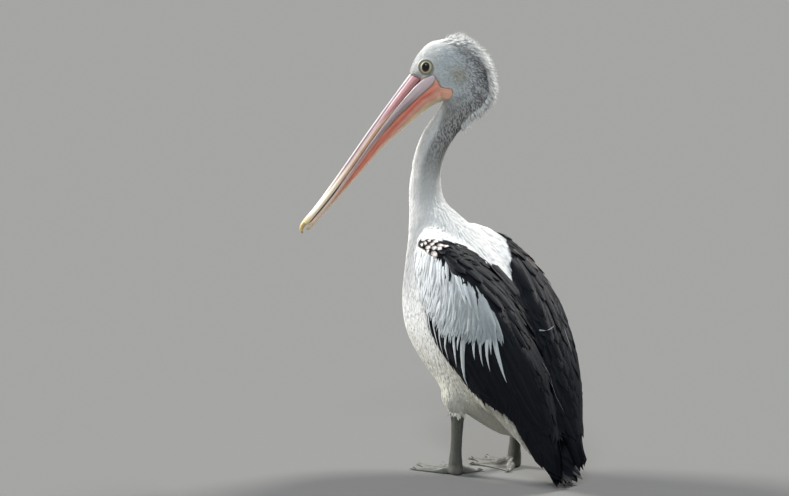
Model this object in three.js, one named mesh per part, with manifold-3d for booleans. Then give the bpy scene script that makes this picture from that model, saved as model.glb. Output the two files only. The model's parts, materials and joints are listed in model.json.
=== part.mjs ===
// A life-size Australian pelican that stands at rest, with its head turned to its left and its bill
// lowered.
//
// Millimetres, +Z up. The bird faces -Y, and its left side is +X. It is modelled about the point on the
// floor between its feet. The whole group is moved at the end, to put the origin in the middle of the
// bottom face of its bounding box. Each solid reaches out to the tips of the feathers that cover it.

import * as THREE from "three";
import { mergeVertices } from "three/addons/utils/BufferGeometryUtils.js";
import Module from "manifold-3d";

const wasm = await Module();
wasm.setup();

// ---- Driving dimensions ----

const DEG = Math.PI / 180;
const GAP = 0.35; // between neighbouring pieces
const HEAD_YAW = 30 * DEG; // the head's turn to the bird's left
const SKULL = new THREE.Vector3(-14, -111, 904); // the middle of the feathered head
const BILL_LENGTH = 466; // from the corner of the mouth to the nail
const BILL_PITCH = 51.8 * DEG; // the mouth line below the horizontal
const BILL_WAVE = 4; // the rise and fall of the mouth line on its way
const EYE_RADIUS = 11.5;
const EYE_AT = [56, 18, 28.5]; // forward, above and to the side of the skull's middle
const RIGHT_TIP = new THREE.Vector3(0, 20, 20); // from a mirror of the left wing's tip to the right's
const LEG_SPREAD = 75; // of each heel from the midline
const LEFT_HEEL_Y = -27;
const RIGHT_HEEL_Y = 28;
const WEB_THICKNESS = 2.6;
const CLAW_LENGTH = 9;

// ---- Sweeps: every feathered piece is one section carried along a path ----

const vec = (x, y, z) => new THREE.Vector3(x, y, z);
const skyward = vec(0, 0, 1);
const step = 0.004; // of a path, over which its direction is taken

// A smooth curve through rows of numbers, read from 0 to 1. Equal steps run from one row to the next.
function track(rows) {
  const curves = [];
  for (let i = 0; i < rows[0].length; i += 3) {
    const points = rows.map((row) => vec(row[i], row[i + 1] ?? 0, row[i + 2] ?? 0));
    curves.push(new THREE.CatmullRomCurve3(points, false, "catmullrom", 0.5));
  }
  return (t) => curves.flatMap((curve) => curve.getPoint(t).toArray()).slice(0, rows[0].length);
}

// The direction of a path at t.
function heading(path, t) {
  return path(Math.min(1, t + step)).sub(path(Math.max(0, t - step))).normalize();
}

// A point of a squared-off circle at an angle: power 2 is round, and more is boxier.
function superCircle(angle, power) {
  const bend = (v) => Math.sign(v) * Math.abs(v) ** (2 / power);
  return [bend(Math.cos(angle)), bend(Math.sin(angle))];
}

// A closed body swept along a path. place(t) gives a section: its middle, its side and up directions,
// half its width, its reach above and below the middle, and the power of its squared-off circle.
// "inner" is the sign of the side that has a power of its own.
function sweep(place, sides, steps) {
  const body = new THREE.CylinderGeometry(1, 1, 1, sides, steps);
  const position = body.attributes.position;
  for (let i = 0; i < position.count; i++) {
    const s = place(0.5 - position.getY(i));
    const radius = Math.hypot(position.getX(i), position.getZ(i));
    const angle = Math.atan2(position.getZ(i), position.getX(i));
    const isInner = Math.sign(Math.cos(angle)) === s.inner;
    const [across, over] = superCircle(angle, (isInner ? s.innerPower : s.power) ?? 2);
    const point = s.middle
      .clone()
      .addScaledVector(s.side, radius * s.width * across)
      .addScaledVector(s.up, radius * over * (over > 0 ? s.above : s.below));
    position.setXYZ(i, point.x, point.y, point.z);
  }
  return solidOf(body);
}

// A section made larger all round, for cutting clear of a piece.
function grown(section, by) {
  return { ...section, width: section.width + by, above: section.above + by, below: section.below + by };
}

// A closed shape as a solid that can be joined and cut. One that came out inside out is turned round.
function solidOf(geometry) {
  const bare = geometry.clone();
  bare.deleteAttribute("normal");
  bare.deleteAttribute("uv");
  const merged = mergeVertices(bare, 1e-3);
  const vertProperties = merged.attributes.position.array;
  const triVerts = new Uint32Array(merged.index.array);
  const made = new wasm.Manifold(new wasm.Mesh({ numProp: 3, vertProperties, triVerts }));
  if (made.volume() > 0) return made;
  for (let i = 0; i < triVerts.length; i += 3) triVerts.subarray(i, i + 3).reverse();
  return new wasm.Manifold(new wasm.Mesh({ numProp: 3, vertProperties, triVerts }));
}

// ---- Trunk and neck: one sweep from the nape down to the root of the tail ----

// Each row: middle x, y, z, half width, reach towards the back, reach towards the breast.
const CORE = [
  [-30, -82, 852, 34, 42, 42],
  [-19, -120, 795, 32, 34, 42],
  [-9, -151, 752, 32, 34, 42],
  [-2, -169, 700, 33, 35, 43],
  [0, -175, 645, 37, 37, 47],
  [0, -166, 595, 48, 46, 62],
  [0, -138, 540, 76, 78, 98],
  [0, -96, 470, 108, 116, 158],
  [0, -52, 395, 130, 132, 189],
  [0, -6, 315, 136, 130, 174],
  [0, 42, 235, 122, 114, 143],
  [0, 88, 168, 88, 80, 98],
  [0, 126, 118, 50, 48, 54],
  [0, 150, 92, 12, 14, 14],
];
const CORE_SIDES = 20;
const CORE_STEPS = 28;
const NECK_UNTURNED = 0.31; // the share of the core by which the neck's turn has run out
const coreTrack = track(CORE);
const corePath = (t) => vec(...coreTrack(t).slice(0, 3));

function coreSection(t) {
  const along = heading(corePath, t);
  const turn = HEAD_YAW * Math.max(0, 1 - t / NECK_UNTURNED);
  const side = vec(Math.cos(turn), Math.sin(turn), 0);
  side.addScaledVector(along, -side.dot(along)).normalize();
  const [, , , width, above, below] = coreTrack(t);
  return { middle: corePath(t), side, up: side.clone().cross(along), width, above, below };
}
const core = sweep(coreSection, CORE_SIDES, CORE_STEPS);
const coreGrown = sweep((t) => grown(coreSection(t), GAP), CORE_SIDES, CORE_STEPS);

// ---- Head: sections square to the way it looks, from the nape to the face ----

const ahead = vec(Math.sin(HEAD_YAW), -Math.cos(HEAD_YAW), 0);
const headLeft = vec(Math.cos(HEAD_YAW), Math.sin(HEAD_YAW), 0);

// A place in the head's own frame: forward of the skull's middle, above it, and to its left.
function inHead(forward, above, left) {
  const place = SKULL.clone().addScaledVector(ahead, forward);
  return place.addScaledVector(skyward, above).addScaledVector(headLeft, left);
}

// Each row: forward, top, bottom, half width.
const HEAD = [
  [-96, 12, -24, 4],
  [-91, 38, -52, 16],
  [-78, 61, -78, 27],
  [-54, 83, -96, 35],
  [-25, 96, -98, 39],
  [8, 93, -80, 41],
  [38, 84, -48, 38],
  [62, 68, -28, 36],
  [81, 46, -17, 31],
  [92, 26, -10, 24],
  [97, 12, -2, 14],
  [99, 5, 0, 4],
];
const HEAD_SIDES = 18;
const HEAD_STEPS = 14;
const headTrack = track(HEAD);

function headSection(t) {
  const [forward, top, bottom, width] = headTrack(t);
  const half = (top - bottom) / 2;
  const middle = inHead(forward, (top + bottom) / 2, 0);
  return { middle, side: headLeft, up: skyward, width, above: half, below: half, power: 2.15 };
}
const skull = sweep(headSection, HEAD_SIDES, HEAD_STEPS);
const skullGrown = sweep((t) => grown(headSection(t), GAP), HEAD_SIDES, HEAD_STEPS);

function eyeball(left, grow = 0) {
  const [forward, above, aside] = EYE_AT;
  const place = inHead(forward, above, left * aside);
  return solidOf(new THREE.SphereGeometry(EYE_RADIUS + grow, 14, 9).translate(place.x, place.y, place.z));
}

// ---- Bill: laid out along the mouth line ----

const MOUTH_CORNER = inHead(65, -5, 0);
const outward = ahead.clone().applyAxisAngle(headLeft, BILL_PITCH);
const ridgeward = skyward.clone().applyAxisAngle(headLeft, BILL_PITCH);

// A place on the bill: the share of its length, and the height above the mouth line.
function onBill(share, above, left = 0) {
  const wave = share > 0 ? BILL_WAVE * Math.sin(share * 2 * Math.PI) : 0;
  const place = MOUTH_CORNER.clone().addScaledVector(outward, share * BILL_LENGTH);
  return place.addScaledVector(ridgeward, above + wave).addScaledVector(headLeft, left);
}
const billSection = (middle, width, above, below, power) => ({
  middle,
  side: headLeft,
  up: ridgeward,
  width,
  above,
  below,
  power,
});

// Upper bill. Each row: share of the length, height of the ridge, height of its edge, half width.
const UPPER = [
  [-0.012, 12, 0.4, 16],
  [0.01, 22, 0.4, 22],
  [0.045, 28.5, 0.4, 24],
  [0.11, 25.5, 0.4, 22],
  [0.2, 23, 0.4, 19],
  [0.31, 21.5, 0.4, 16.5],
  [0.5, 20.5, 0.4, 15],
  [0.65, 20, 0.4, 15.5],
  [0.78, 18, 0.4, 18],
  [0.86, 16.5, 0.4, 18.5],
  [0.92, 16.5, 0.4, 17],
  [0.95, 16, 2, 14],
];
const UPPER_UNDERSIDE = 0.6; // how far its flat underside bows
const upperTrack = track(UPPER);
function upperSection(t) {
  const [share, ridge, edge, width] = upperTrack(t);
  return billSection(onBill(share, edge + UPPER_UNDERSIDE), width, ridge - edge, UPPER_UNDERSIDE, 2.3);
}

// The nail, which hooks down over the tip.
// Each row: share of the length, height of its middle, half width, half thickness.
const NAIL = [
  [0.91, 9, 13, 7.2],
  [0.95, 10, 12, 6.6],
  [0.974, 9, 10, 5.6],
  [0.99, 5.5, 7.5, 4.4],
  [0.998, 1, 5, 3],
  [1, -3.5, 2, 1.4],
];
const nailTrack = track(NAIL);
const nailPath = (t) => onBill(nailTrack(t)[0], nailTrack(t)[1]);
function nailSection(t) {
  const [, , width, half] = nailTrack(t);
  const up = headLeft.clone().cross(heading(nailPath, t)).normalize();
  return { middle: nailPath(t), side: headLeft, up, width, above: half, below: half };
}
function upperBill(grow = 0) {
  const blade = sweep((t) => grown(upperSection(t), grow), 14, 12);
  return blade.add(sweep((t) => grown(nailSection(t), grow), 10, 6));
}

// Lower bill: two thin bars from the corners of the jaw, which join at the tip.
// Each row: share, height of the bar's middle, distance from the midline, half height, half thickness.
const BAR = [
  [-0.045, -21, 31, 3, 3],
  [-0.03, -20, 31.5, 9, 5],
  [0.015, -16, 32, 13.8, 6],
  [0.1, -12, 30.5, 12, 6],
  [0.206, -8.6, 27, 8.6, 5],
  [0.31, -6.6, 23.5, 6.6, 4.5],
  [0.46, -5, 19.5, 5, 4.2],
  [0.62, -4.2, 16, 4.2, 4],
  [0.78, -4.2, 14, 4.2, 4],
  [0.9, -4.6, 11.5, 4.4, 4],
  [0.955, -5, 5, 4.2, 4],
  [0.972, -5, 0, 3.2, 3.2],
];
const barTrack = track(BAR);
function barSection(t, left) {
  const [share, above, aside, height, thick] = barTrack(t);
  return billSection(onBill(share, above - GAP, left * aside), thick, height, height, 2.4);
}
function lowerBill(grow = 0) {
  const bar = (left) => sweep((t) => grown(barSection(t, left), grow), 8, 13);
  return bar(1).add(bar(-1));
}

// Pouch: the skin slung between the two bars, drawn up under the closed bill.
// Each row: share, height of its top, height of its lowest point, half width.
const POUCH = [
  [-0.1, -24, -66, 20],
  [-0.07, -12, -76, 30],
  [-0.01, -6, -76, 33],
  [0.045, -3, -69, 33],
  [0.09, -2, -57, 31],
  [0.2, -1.5, -46.5, 27],
  [0.31, -1.5, -37, 23],
  [0.41, -1.5, -27.5, 20],
  [0.515, -1.5, -22.5, 17.5],
  [0.62, -1.5, -17.8, 15.5],
  [0.72, -1.5, -14.4, 14],
  [0.83, -1.5, -11, 12],
  [0.93, -1.5, -9, 7],
];
const POUCH_BELLY = 0.25; // the share of its depth at which it is widest
const pouchTrack = track(POUCH);
function pouchSection(t) {
  const [share, top, bottom, width] = pouchTrack(t);
  const depth = top - bottom;
  const middle = onBill(share, top - depth * POUCH_BELLY);
  return billSection(middle, width, depth * POUCH_BELLY, depth * (1 - POUCH_BELLY), 2.2);
}
const pouch = (grow = 0) => sweep((t) => grown(pouchSection(t), grow), 10, 13);

// ---- Wings, folded along the back ----

// The left wing. Each row: middle x, y, z, half thickness, reach towards the back, reach towards the
// belly, and its lean in degrees.
const WING = [
  [60, -132, 556, 14, 14, 14, 0],
  [68, -106, 530, 48, 42, 46, 0],
  [78, -58, 482, 72, 74, 80, 0],
  [82, -6, 410, 83, 103, 100, 0],
  [80, 47, 328, 84, 114, 98, 4],
  [71, 97, 245, 73, 106, 82, 6],
  [58, 146, 166, 54, 84, 58, 8],
  [47, 188, 100, 37, 58, 42, 10],
  [38, 224, 48, 20, 33, 28, 10],
  [33, 246, 22, 5, 10, 10, 10],
];
const wingTrack = track(WING);

function foldedWing(outer, grow = 0) {
  const path = (t) => {
    const [x, y, z] = wingTrack(t);
    return vec(x * outer, y, z).addScaledVector(RIGHT_TIP, outer > 0 ? 0 : t ** 4);
  };
  const section = (t) => {
    const along = heading(path, t);
    const [, , , width, above, below, lean] = wingTrack(t);
    const side = vec(1, 0, 0);
    side.addScaledVector(along, -side.dot(along)).normalize();
    side.applyAxisAngle(along, -lean * outer * DEG);
    const up = side.clone().cross(along);
    return { middle: path(t), side, up, width, above, below, power: 2.3, inner: -outer, innerPower: 3 };
  };
  return sweep((t) => grown(section(t), grow), 16, 14);
}

// ---- Tail ----

// Each row: middle y, z, half width, half thickness.
const TAIL = [
  [118, 128, 30, 14],
  [160, 92, 42, 13],
  [205, 52, 50, 9],
  [236, 22, 49, 5],
  [246, 12, 42, 3],
  [250, 9, 26, 1.5],
];
const tailTrack = track(TAIL);
const tailPath = (t) => vec(0, tailTrack(t)[0], tailTrack(t)[1]);
function tailSection(t) {
  const [, , width, half] = tailTrack(t);
  const side = vec(1, 0, 0);
  const up = side.clone().cross(heading(tailPath, t)).normalize();
  return { middle: tailPath(t), side, up, width, above: half, below: half, power: 2.6 };
}
const tail = (grow = 0) => sweep((t) => grown(tailSection(t), grow), 14, 7);

// ---- Legs ----

// Each row: middle x outwards, y and z from the heel, half width, half depth.
const THIGH = [
  [0, 8, 240, 30, 38],
  [3, 2, 205, 36, 45],
  [3, 0, 174, 29, 37],
  [1, 2, 153, 20, 27],
  [0, 4, 141, 12.5, 19],
];
const TARSUS = [
  [0, 6, 176, 8, 14],
  [0, 5, 150, 10, 17],
  [0, 5, 136, 10, 17],
  [0, 4, 112, 8.5, 14.5],
  [0, 2, 70, 8, 13.5],
  [0, 0, 36, 9, 14.5],
  [0, 0, 18, 12, 17],
  [0, 0, 6, 13, 18],
];
function limb(rows, heel, outer, steps, grow = 0) {
  const line = track(rows);
  const section = (t) => {
    const [x, y, z, width, depth] = line(t);
    const middle = vec(x * outer, y, z).add(heel);
    return { middle, side: vec(1, 0, 0), up: vec(0, 1, 0), width, above: depth, below: depth };
  };
  return sweep((t) => grown(section(t), grow), 12, steps);
}

// ---- Feet: four toes, all joined by webs, with flat soles on the floor ----

// Each row: the toe's turn outwards from straight ahead, in degrees, and its length.
const TOES = [
  [16, 104],
  [-6, 116],
  [-34, 96],
  [-112, 62],
];
const TOE_ROOT = 11;
const TOE_TIP = 4.2;
const KNUCKLE = 0.16; // how much a toe swells at its joints
const WEB_REACH = 0.93; // the share of a toe that the web runs along
const WEB_SCOOP = 0.16; // how far the web's edge draws back between two toes

function toe(heel, outer, [turn, length]) {
  const way = vec(Math.sin(turn * DEG) * outer, -Math.cos(turn * DEG), 0);
  const side = vec(-way.y, way.x, 0);
  const section = (t) => {
    const taper = TOE_ROOT + (TOE_TIP - TOE_ROOT) * t ** 0.7;
    const radius = taper * (1 + KNUCKLE * Math.sin(t * Math.PI * 6));
    const middle = heel.clone().addScaledVector(way, t * length);
    return { middle, side, up: skyward, width: radius, above: radius * (1.35 - 0.4 * t), below: radius };
  };
  const claw = (t) => {
    const radius = TOE_TIP * 0.85 * (1 - 0.8 * t);
    const middle = heel.clone().addScaledVector(way, length - 3 + t * (CLAW_LENGTH + 3));
    middle.z += 4 - 2 * t;
    return { middle, side, up: skyward, width: radius * 0.8, above: radius, below: radius };
  };
  return sweep(section, 6, 6).add(sweep(claw, 5, 2));
}

function web(heel, outer, first, second) {
  const middle = new THREE.Vector2(heel.x, heel.y);
  const tip = ([turn, length]) => {
    const way = new THREE.Vector2(Math.sin(turn * DEG) * outer, -Math.cos(turn * DEG));
    return middle.clone().addScaledVector(way, length * WEB_REACH);
  };
  const root = middle.clone().setY(heel.y + 4);
  const [a, b] = [tip(first), tip(second)];
  const dip = a.clone().add(b).multiplyScalar(0.5).lerp(root, WEB_SCOOP);
  const outline = new THREE.Shape();
  outline.moveTo(root.x, root.y);
  outline.lineTo(a.x, a.y);
  outline.quadraticCurveTo(dip.x, dip.y, b.x, b.y);
  outline.closePath();
  const plate = { depth: WEB_THICKNESS, bevelEnabled: false, curveSegments: 4 };
  return solidOf(new THREE.ExtrudeGeometry(outline, plate));
}

function foot(heel, outer) {
  const pad = new THREE.SphereGeometry(1, 10, 6).scale(15, 18, 15).translate(heel.x, heel.y, 4);
  const toes = TOES.map((row) => toe(heel, outer, row));
  const webs = TOES.slice(1).map((row, i) => web(heel, outer, TOES[i], row));
  return [solidOf(pad), ...toes, ...webs].reduce((all, one) => all.add(one)).trimByPlane([0, 0, 1], 0);
}

// ---- Assembly: each piece is cut clear of the ones it meets ----

const PLUMAGE_WHITE = { color: 0xe9e8e2, roughness: 0.9, metalness: 0 };
const PLUMAGE_GREY = { color: 0xb9bbbd, roughness: 0.9, metalness: 0 };
const PLUMAGE_BLACK = { color: 0x17181b, roughness: 0.7, metalness: 0 };
const BILL_HORN = { color: 0xe6b3a2, roughness: 0.45, metalness: 0 };
const POUCH_SKIN = { color: 0xdd7a5f, roughness: 0.5, metalness: 0 };
const LEG_SKIN = { color: 0x85837e, roughness: 0.65, metalness: 0 };
const EYE_DARK = { color: 0x2a1c12, roughness: 0.1, metalness: 0 };

const group = new THREE.Group();

// Adds the largest body of a solid, without the crumbs that a cut can leave.
function addPiece(name, solid, finish) {
  const whole = solid.decompose().reduce((best, one) => (one.volume() > best.volume() ? one : best));
  const made = whole.getMesh();
  const geometry = new THREE.BufferGeometry();
  geometry.setAttribute("position", new THREE.BufferAttribute(made.vertProperties, 3));
  geometry.setIndex(new THREE.BufferAttribute(made.triVerts, 1));
  geometry.computeVertexNormals();
  const mesh = new THREE.Mesh(geometry, new THREE.MeshStandardMaterial(finish));
  mesh.name = name;
  group.add(mesh);
}

// The core is parted below the head, in mid-neck and at the neck's root, by thin cuts square to it.
const NECK_CUTS = [0.1, 0.255, 0.445];
const [napeCut, midCut, rootCut] = NECK_CUTS.map((t) => {
  const way = heading(corePath, t);
  return { way, at: way.dot(corePath(t)) };
});
const beyond = (solid, { way, at }) => solid.trimByPlane(way.toArray(), at + GAP / 2);
const before = (solid, { way, at }) => solid.trimByPlane(way.clone().negate().toArray(), GAP / 2 - at);

const headCutters = [upperBill(GAP), lowerBill(GAP), pouch(GAP), eyeball(1, GAP), eyeball(-1, GAP)];
const headUncut = before(core, napeCut).add(skull);
const head = headCutters.reduce((solid, cutter) => solid.subtract(cutter), headUncut);
const upperNeck = before(beyond(core, napeCut), midCut).subtract(skullGrown).subtract(pouch(GAP));

addPiece("head", head, PLUMAGE_WHITE);
addPiece("neck_upper", upperNeck, PLUMAGE_GREY);
addPiece("neck_lower", before(beyond(core, midCut), rootCut), PLUMAGE_WHITE);
addPiece("trunk", beyond(core, rootCut), PLUMAGE_WHITE);
addPiece("bill_upper", upperBill(), BILL_HORN);
addPiece("bill_lower", lowerBill().subtract(upperBill(GAP)), BILL_HORN);
addPiece("pouch", pouch().subtract(lowerBill(GAP)).subtract(upperBill(GAP)), POUCH_SKIN);
addPiece("tail", tail().subtract(coreGrown), PLUMAGE_BLACK);

for (const [name, outer, heelY] of [["left", 1, LEFT_HEEL_Y], ["right", -1, RIGHT_HEEL_Y]]) {
  const heel = vec(outer * LEG_SPREAD, heelY, 0);
  const wing = foldedWing(outer).trimByPlane([outer, 0, 0], GAP / 2);
  const wingGrown = foldedWing(outer, GAP);
  const shank = limb(TARSUS, heel, outer, 8);
  const shankGrown = limb(TARSUS, heel, outer, 8, GAP);
  const thigh = limb(THIGH, heel, outer, 6);
  const clearOfBody = (solid) => solid.subtract(coreGrown).subtract(wingGrown);
  addPiece(`eye_${name}`, eyeball(outer), EYE_DARK);
  addPiece(`wing_${name}`, wing.subtract(coreGrown).subtract(tail(GAP)), PLUMAGE_BLACK);
  addPiece(`thigh_${name}`, clearOfBody(thigh).subtract(shankGrown), PLUMAGE_WHITE);
  addPiece(`tarsus_${name}`, clearOfBody(shank), LEG_SKIN);
  addPiece(`foot_${name}`, foot(heel, outer).subtract(shankGrown), LEG_SKIN);
}

// ---- Origin: the middle of the bounding box's bottom face ----

const bounds = new THREE.Box3().setFromObject(group);
group.position.copy(bounds.getCenter(vec(0, 0, 0)).setZ(bounds.min.z).negate());

export default group;
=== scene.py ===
import json
import math
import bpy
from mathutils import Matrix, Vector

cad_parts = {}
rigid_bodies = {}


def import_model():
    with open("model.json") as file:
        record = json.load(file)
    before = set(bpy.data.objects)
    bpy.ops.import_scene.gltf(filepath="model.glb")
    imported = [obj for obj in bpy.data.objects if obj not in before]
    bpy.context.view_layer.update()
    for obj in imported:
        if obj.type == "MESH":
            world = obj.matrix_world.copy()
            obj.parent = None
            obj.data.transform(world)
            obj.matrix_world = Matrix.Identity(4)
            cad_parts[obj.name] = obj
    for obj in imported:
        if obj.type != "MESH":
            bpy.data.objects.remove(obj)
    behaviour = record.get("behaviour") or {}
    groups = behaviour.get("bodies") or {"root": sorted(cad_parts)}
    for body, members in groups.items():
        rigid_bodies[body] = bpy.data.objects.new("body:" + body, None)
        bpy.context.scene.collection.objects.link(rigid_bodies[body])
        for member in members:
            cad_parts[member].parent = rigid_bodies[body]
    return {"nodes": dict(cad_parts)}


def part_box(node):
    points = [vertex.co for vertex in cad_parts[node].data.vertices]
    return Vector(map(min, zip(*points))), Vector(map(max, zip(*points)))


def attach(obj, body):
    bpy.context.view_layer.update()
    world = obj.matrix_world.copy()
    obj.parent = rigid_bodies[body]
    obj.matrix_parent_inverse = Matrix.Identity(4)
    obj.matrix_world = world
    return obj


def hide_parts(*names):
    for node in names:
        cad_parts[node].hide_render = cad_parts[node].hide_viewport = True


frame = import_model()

from types import SimpleNamespace

import bmesh
import bpy
import numpy as np
from mathutils import Vector
from mathutils.bvhtree import BVHTree

bpy.context.view_layer.update()

# ---- Camera ----
# It stands 5 m off, a little above the bird's back, and sees its left side from behind the wing. The
# bird is right of the middle of a wide picture.
VIEW_AZIMUTH = math.radians(130)
VIEW_HEIGHT = math.radians(8)
VIEW_DISTANCE = 5.0
LOOK_AT = Vector((0.0770, -0.1288, 0.5056))
LENS = 99.2

level = math.cos(VIEW_HEIGHT)
to_camera = Vector((math.sin(VIEW_AZIMUTH) * level, -math.cos(VIEW_AZIMUTH) * level, math.sin(VIEW_HEIGHT)))
camera_data = bpy.data.cameras.new("camera")
camera_data.lens = LENS
camera = bpy.data.objects.new("camera", camera_data)
camera.location = LOOK_AT + to_camera * VIEW_DISTANCE
camera.rotation_euler = to_camera.to_track_quat("Z", "Y").to_euler()
bpy.context.scene.collection.objects.link(camera)
bpy.context.scene.camera = camera


# ---- Skin ----
# One closed skin over head, neck, trunk, thighs, wings and tail, as a taxidermist's form has. It lies
# inside the solids by the depth of the plumage. Its stub of a bill is hidden in the real one.
FLESH = ["head", "neck_upper", "neck_lower", "trunk", "tail",
         "wing_left", "wing_right", "thigh_left", "thigh_right"]
SOCKETS = ["eye_left", "eye_right", "bill_upper", "bill_lower", "pouch"]
UP = Vector((0, 0, 1))


def middle_of(node):
    low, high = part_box(node)
    return (low + high) / 2


# The head's own directions, and the middle of the skull between the eyes and the nape.
EYE_FORWARD = 0.056
EYE_ABOVE = 0.018
HEAD_LEFT = (middle_of("eye_left") - middle_of("eye_right")).normalized()
AHEAD = HEAD_LEFT.cross(UP)
SKULL = (middle_of("eye_left") + middle_of("eye_right")) / 2 - AHEAD * EYE_FORWARD - UP * EYE_ABOVE
GROUND = SKULL - Vector((-0.014, -0.111, 0.904))  # the point on the floor between the feet

# The bill's directions, along the mouth line and square to it.
BILL_PITCH = math.radians(51.8)
BILL_LENGTH = 0.466
OUTWARD = AHEAD * math.cos(BILL_PITCH) - UP * math.sin(BILL_PITCH)
RIDGEWARD = AHEAD * math.sin(BILL_PITCH) + UP * math.cos(BILL_PITCH)
MOUTH_CORNER = SKULL + AHEAD * 0.065 - UP * 0.005

# The trunk's axis, from the root of the neck to the root of the tail, and the direction of its back.
AXIS_TOP = GROUND + Vector((0, -0.138, 0.540))
AXIS = Vector((0, 0.541, -0.841)).normalized()
DORSAL = Vector((0, 0.841, 0.541)).normalized()


def mesh_of(bm, name):
    mesh = bpy.data.meshes.new(name)
    bm.to_mesh(mesh)
    bm.free()
    return mesh


def linked(mesh, name):
    piece = bpy.data.objects.new(name, mesh)
    bpy.context.scene.collection.objects.link(piece)
    return piece


def as_shown(piece):
    """A piece's mesh with its modifiers applied."""
    return bpy.data.meshes.new_from_object(piece.evaluated_get(bpy.context.evaluated_depsgraph_get()))


def cut_across(bm, place, way, **more):
    """Cuts a whole bmesh by the plane through a place, square to the way."""
    everything = bm.verts[:] + bm.edges[:] + bm.faces[:]
    bmesh.ops.bisect_plane(bm, geom=everything, plane_co=place, plane_no=way, **more)


def read(items, field, width, kind=np.float32):
    values = np.empty(len(items) * width, kind)
    items.foreach_get(field, values)
    return values.reshape(-1, width)


def places(mesh):
    return read(mesh.vertices, "co", 3).astype(float)


def settle(mesh, co):
    mesh.vertices.foreach_set("co", co.astype(np.float32).ravel())
    mesh.update()


def unit(vectors):
    return vectors / np.maximum(np.linalg.norm(vectors, axis=1, keepdims=True), 1e-9)


def rise(value, start, end):
    """From 0 at start to 1 at end, smoothly."""
    share = np.clip((value - start) / (end - start), 0, 1)
    return share * share * (3 - 2 * share)


EVEN_OUT = 0.5  # of the way to the mean of the neighbours, in each step
SWELL_BACK = -0.53


def relaxed(mesh, values, rounds, push=SWELL_BACK):
    """Evens out values over a mesh, in rounds of two steps. The second step swells a shape back."""
    first, second = read(mesh.edges, "vertices", 2, np.int32).T
    count = len(values)
    degree = np.bincount(first, minlength=count) + np.bincount(second, minlength=count)
    for _ in range(rounds):
        for share in (EVEN_OUT, push):
            sums = [
                np.bincount(first, column[second], count) + np.bincount(second, column[first], count)
                for column in values.T
            ]
            values = values + share * (np.stack(sums, 1) / degree[:, None] - values)
    return values


def fine_copy(name, nodes, voxel, rounds, swell=0.0, cut=None):
    """The solids of these nodes, swelled, as one fine closed mesh with their facets evened out.

    The bill's and the eyes' solids aren't swelled, and they end at the cut: a point and the way out from it.
    """
    whole = bmesh.new()
    for node in nodes:
        part = bmesh.new()
        part.from_mesh(frame["nodes"][node].data)
        bmesh.ops.remove_doubles(part, verts=part.verts, dist=1e-5)
        if cut and node in SOCKETS:
            cut_across(part, *cut, clear_outer=True)
            bmesh.ops.holes_fill(part, edges=[edge for edge in part.edges if edge.is_boundary])
        by = 0.0 if node in SOCKETS else swell
        part.normal_update()
        for vertex in part.verts:
            vertex.co += vertex.normal * by
        whole.from_mesh(mesh_of(part, "part"))
    rough = linked(mesh_of(whole, name), name)
    remesh = rough.modifiers.new("even grid", "REMESH")
    remesh.mode = "VOXEL"
    remesh.voxel_size = voxel
    mesh = as_shown(rough)
    bpy.data.objects.remove(rough)
    settle(mesh, relaxed(mesh, places(mesh), rounds))
    mesh.shade_smooth()
    return mesh


def in_head(points):
    """Forward, upward and leftward of the skull's middle."""
    return (points - np.array(SKULL)) @ np.array([AHEAD, UP, HEAD_LEFT]).T


def on_trunk(points):
    """How far down the trunk points lie, and their turn round it: 0 degrees at the back, 90 at a side."""
    from_top = points - np.array(AXIS_TOP)
    turn = np.degrees(np.arctan2(np.abs(from_top[:, 0]), from_top @ np.array(DORSAL)))
    return from_top @ np.array(AXIS), turn


def height_of(points):
    return points[:, 2] - GROUND.z


# The depth of the plumage on the face, and what the crown, the crest and the sockets of the eyes add.
FACE_COAT = 0.0032
CROWN_COAT = 0.0075
CREST_COAT = 0.0100
SOCKET_DEPTH = 0.0030
SOCKET_RADIUS = 0.011
# The same on the neck, and what the trunk and the back add. The lower thigh has little of it.
NECK_COAT = 0.0055
TRUNK_COAT = 0.0035
BACK_COAT = 0.0045
LOST_ON_THIGH = 0.65


def coat_depth(points):
    """How deep the plumage is: thin on the face, deeper on the crest and the body."""
    forward, above, aside = in_head(points).T
    height = height_of(points)
    from_eye = np.hypot(forward - EYE_FORWARD, above - EYE_ABOVE)
    on_crown = rise(above - 0.45 * forward, 0.045, 0.085)
    on_crest = rise(above - 1.3 * forward, 0.09, 0.14) * (1 - rise(np.abs(aside), 0.014, 0.034))
    head = FACE_COAT + CROWN_COAT * on_crown + CREST_COAT * on_crest
    head += SOCKET_DEPTH * np.exp(-((from_eye / SOCKET_RADIUS) ** 2))
    down, turn = on_trunk(points)
    on_back = rise(down, -0.02, 0.06) * (1 - rise(down, 0.30, 0.45)) * (1 - rise(turn, 40, 70))
    body = NECK_COAT + TRUNK_COAT * rise(-height, -0.66, -0.56) + BACK_COAT * on_back
    on_thigh = (np.abs(points[:, 0] - GROUND.x) > 0.035) * (points[:, 1] - GROUND.y < 0.085)
    body *= 1 - LOST_ON_THIGH * on_thigh * rise(-height, -0.205, -0.165)
    is_head = rise(height, 0.83, 0.86)
    return head * is_head + body * (1 - is_head)


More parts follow.
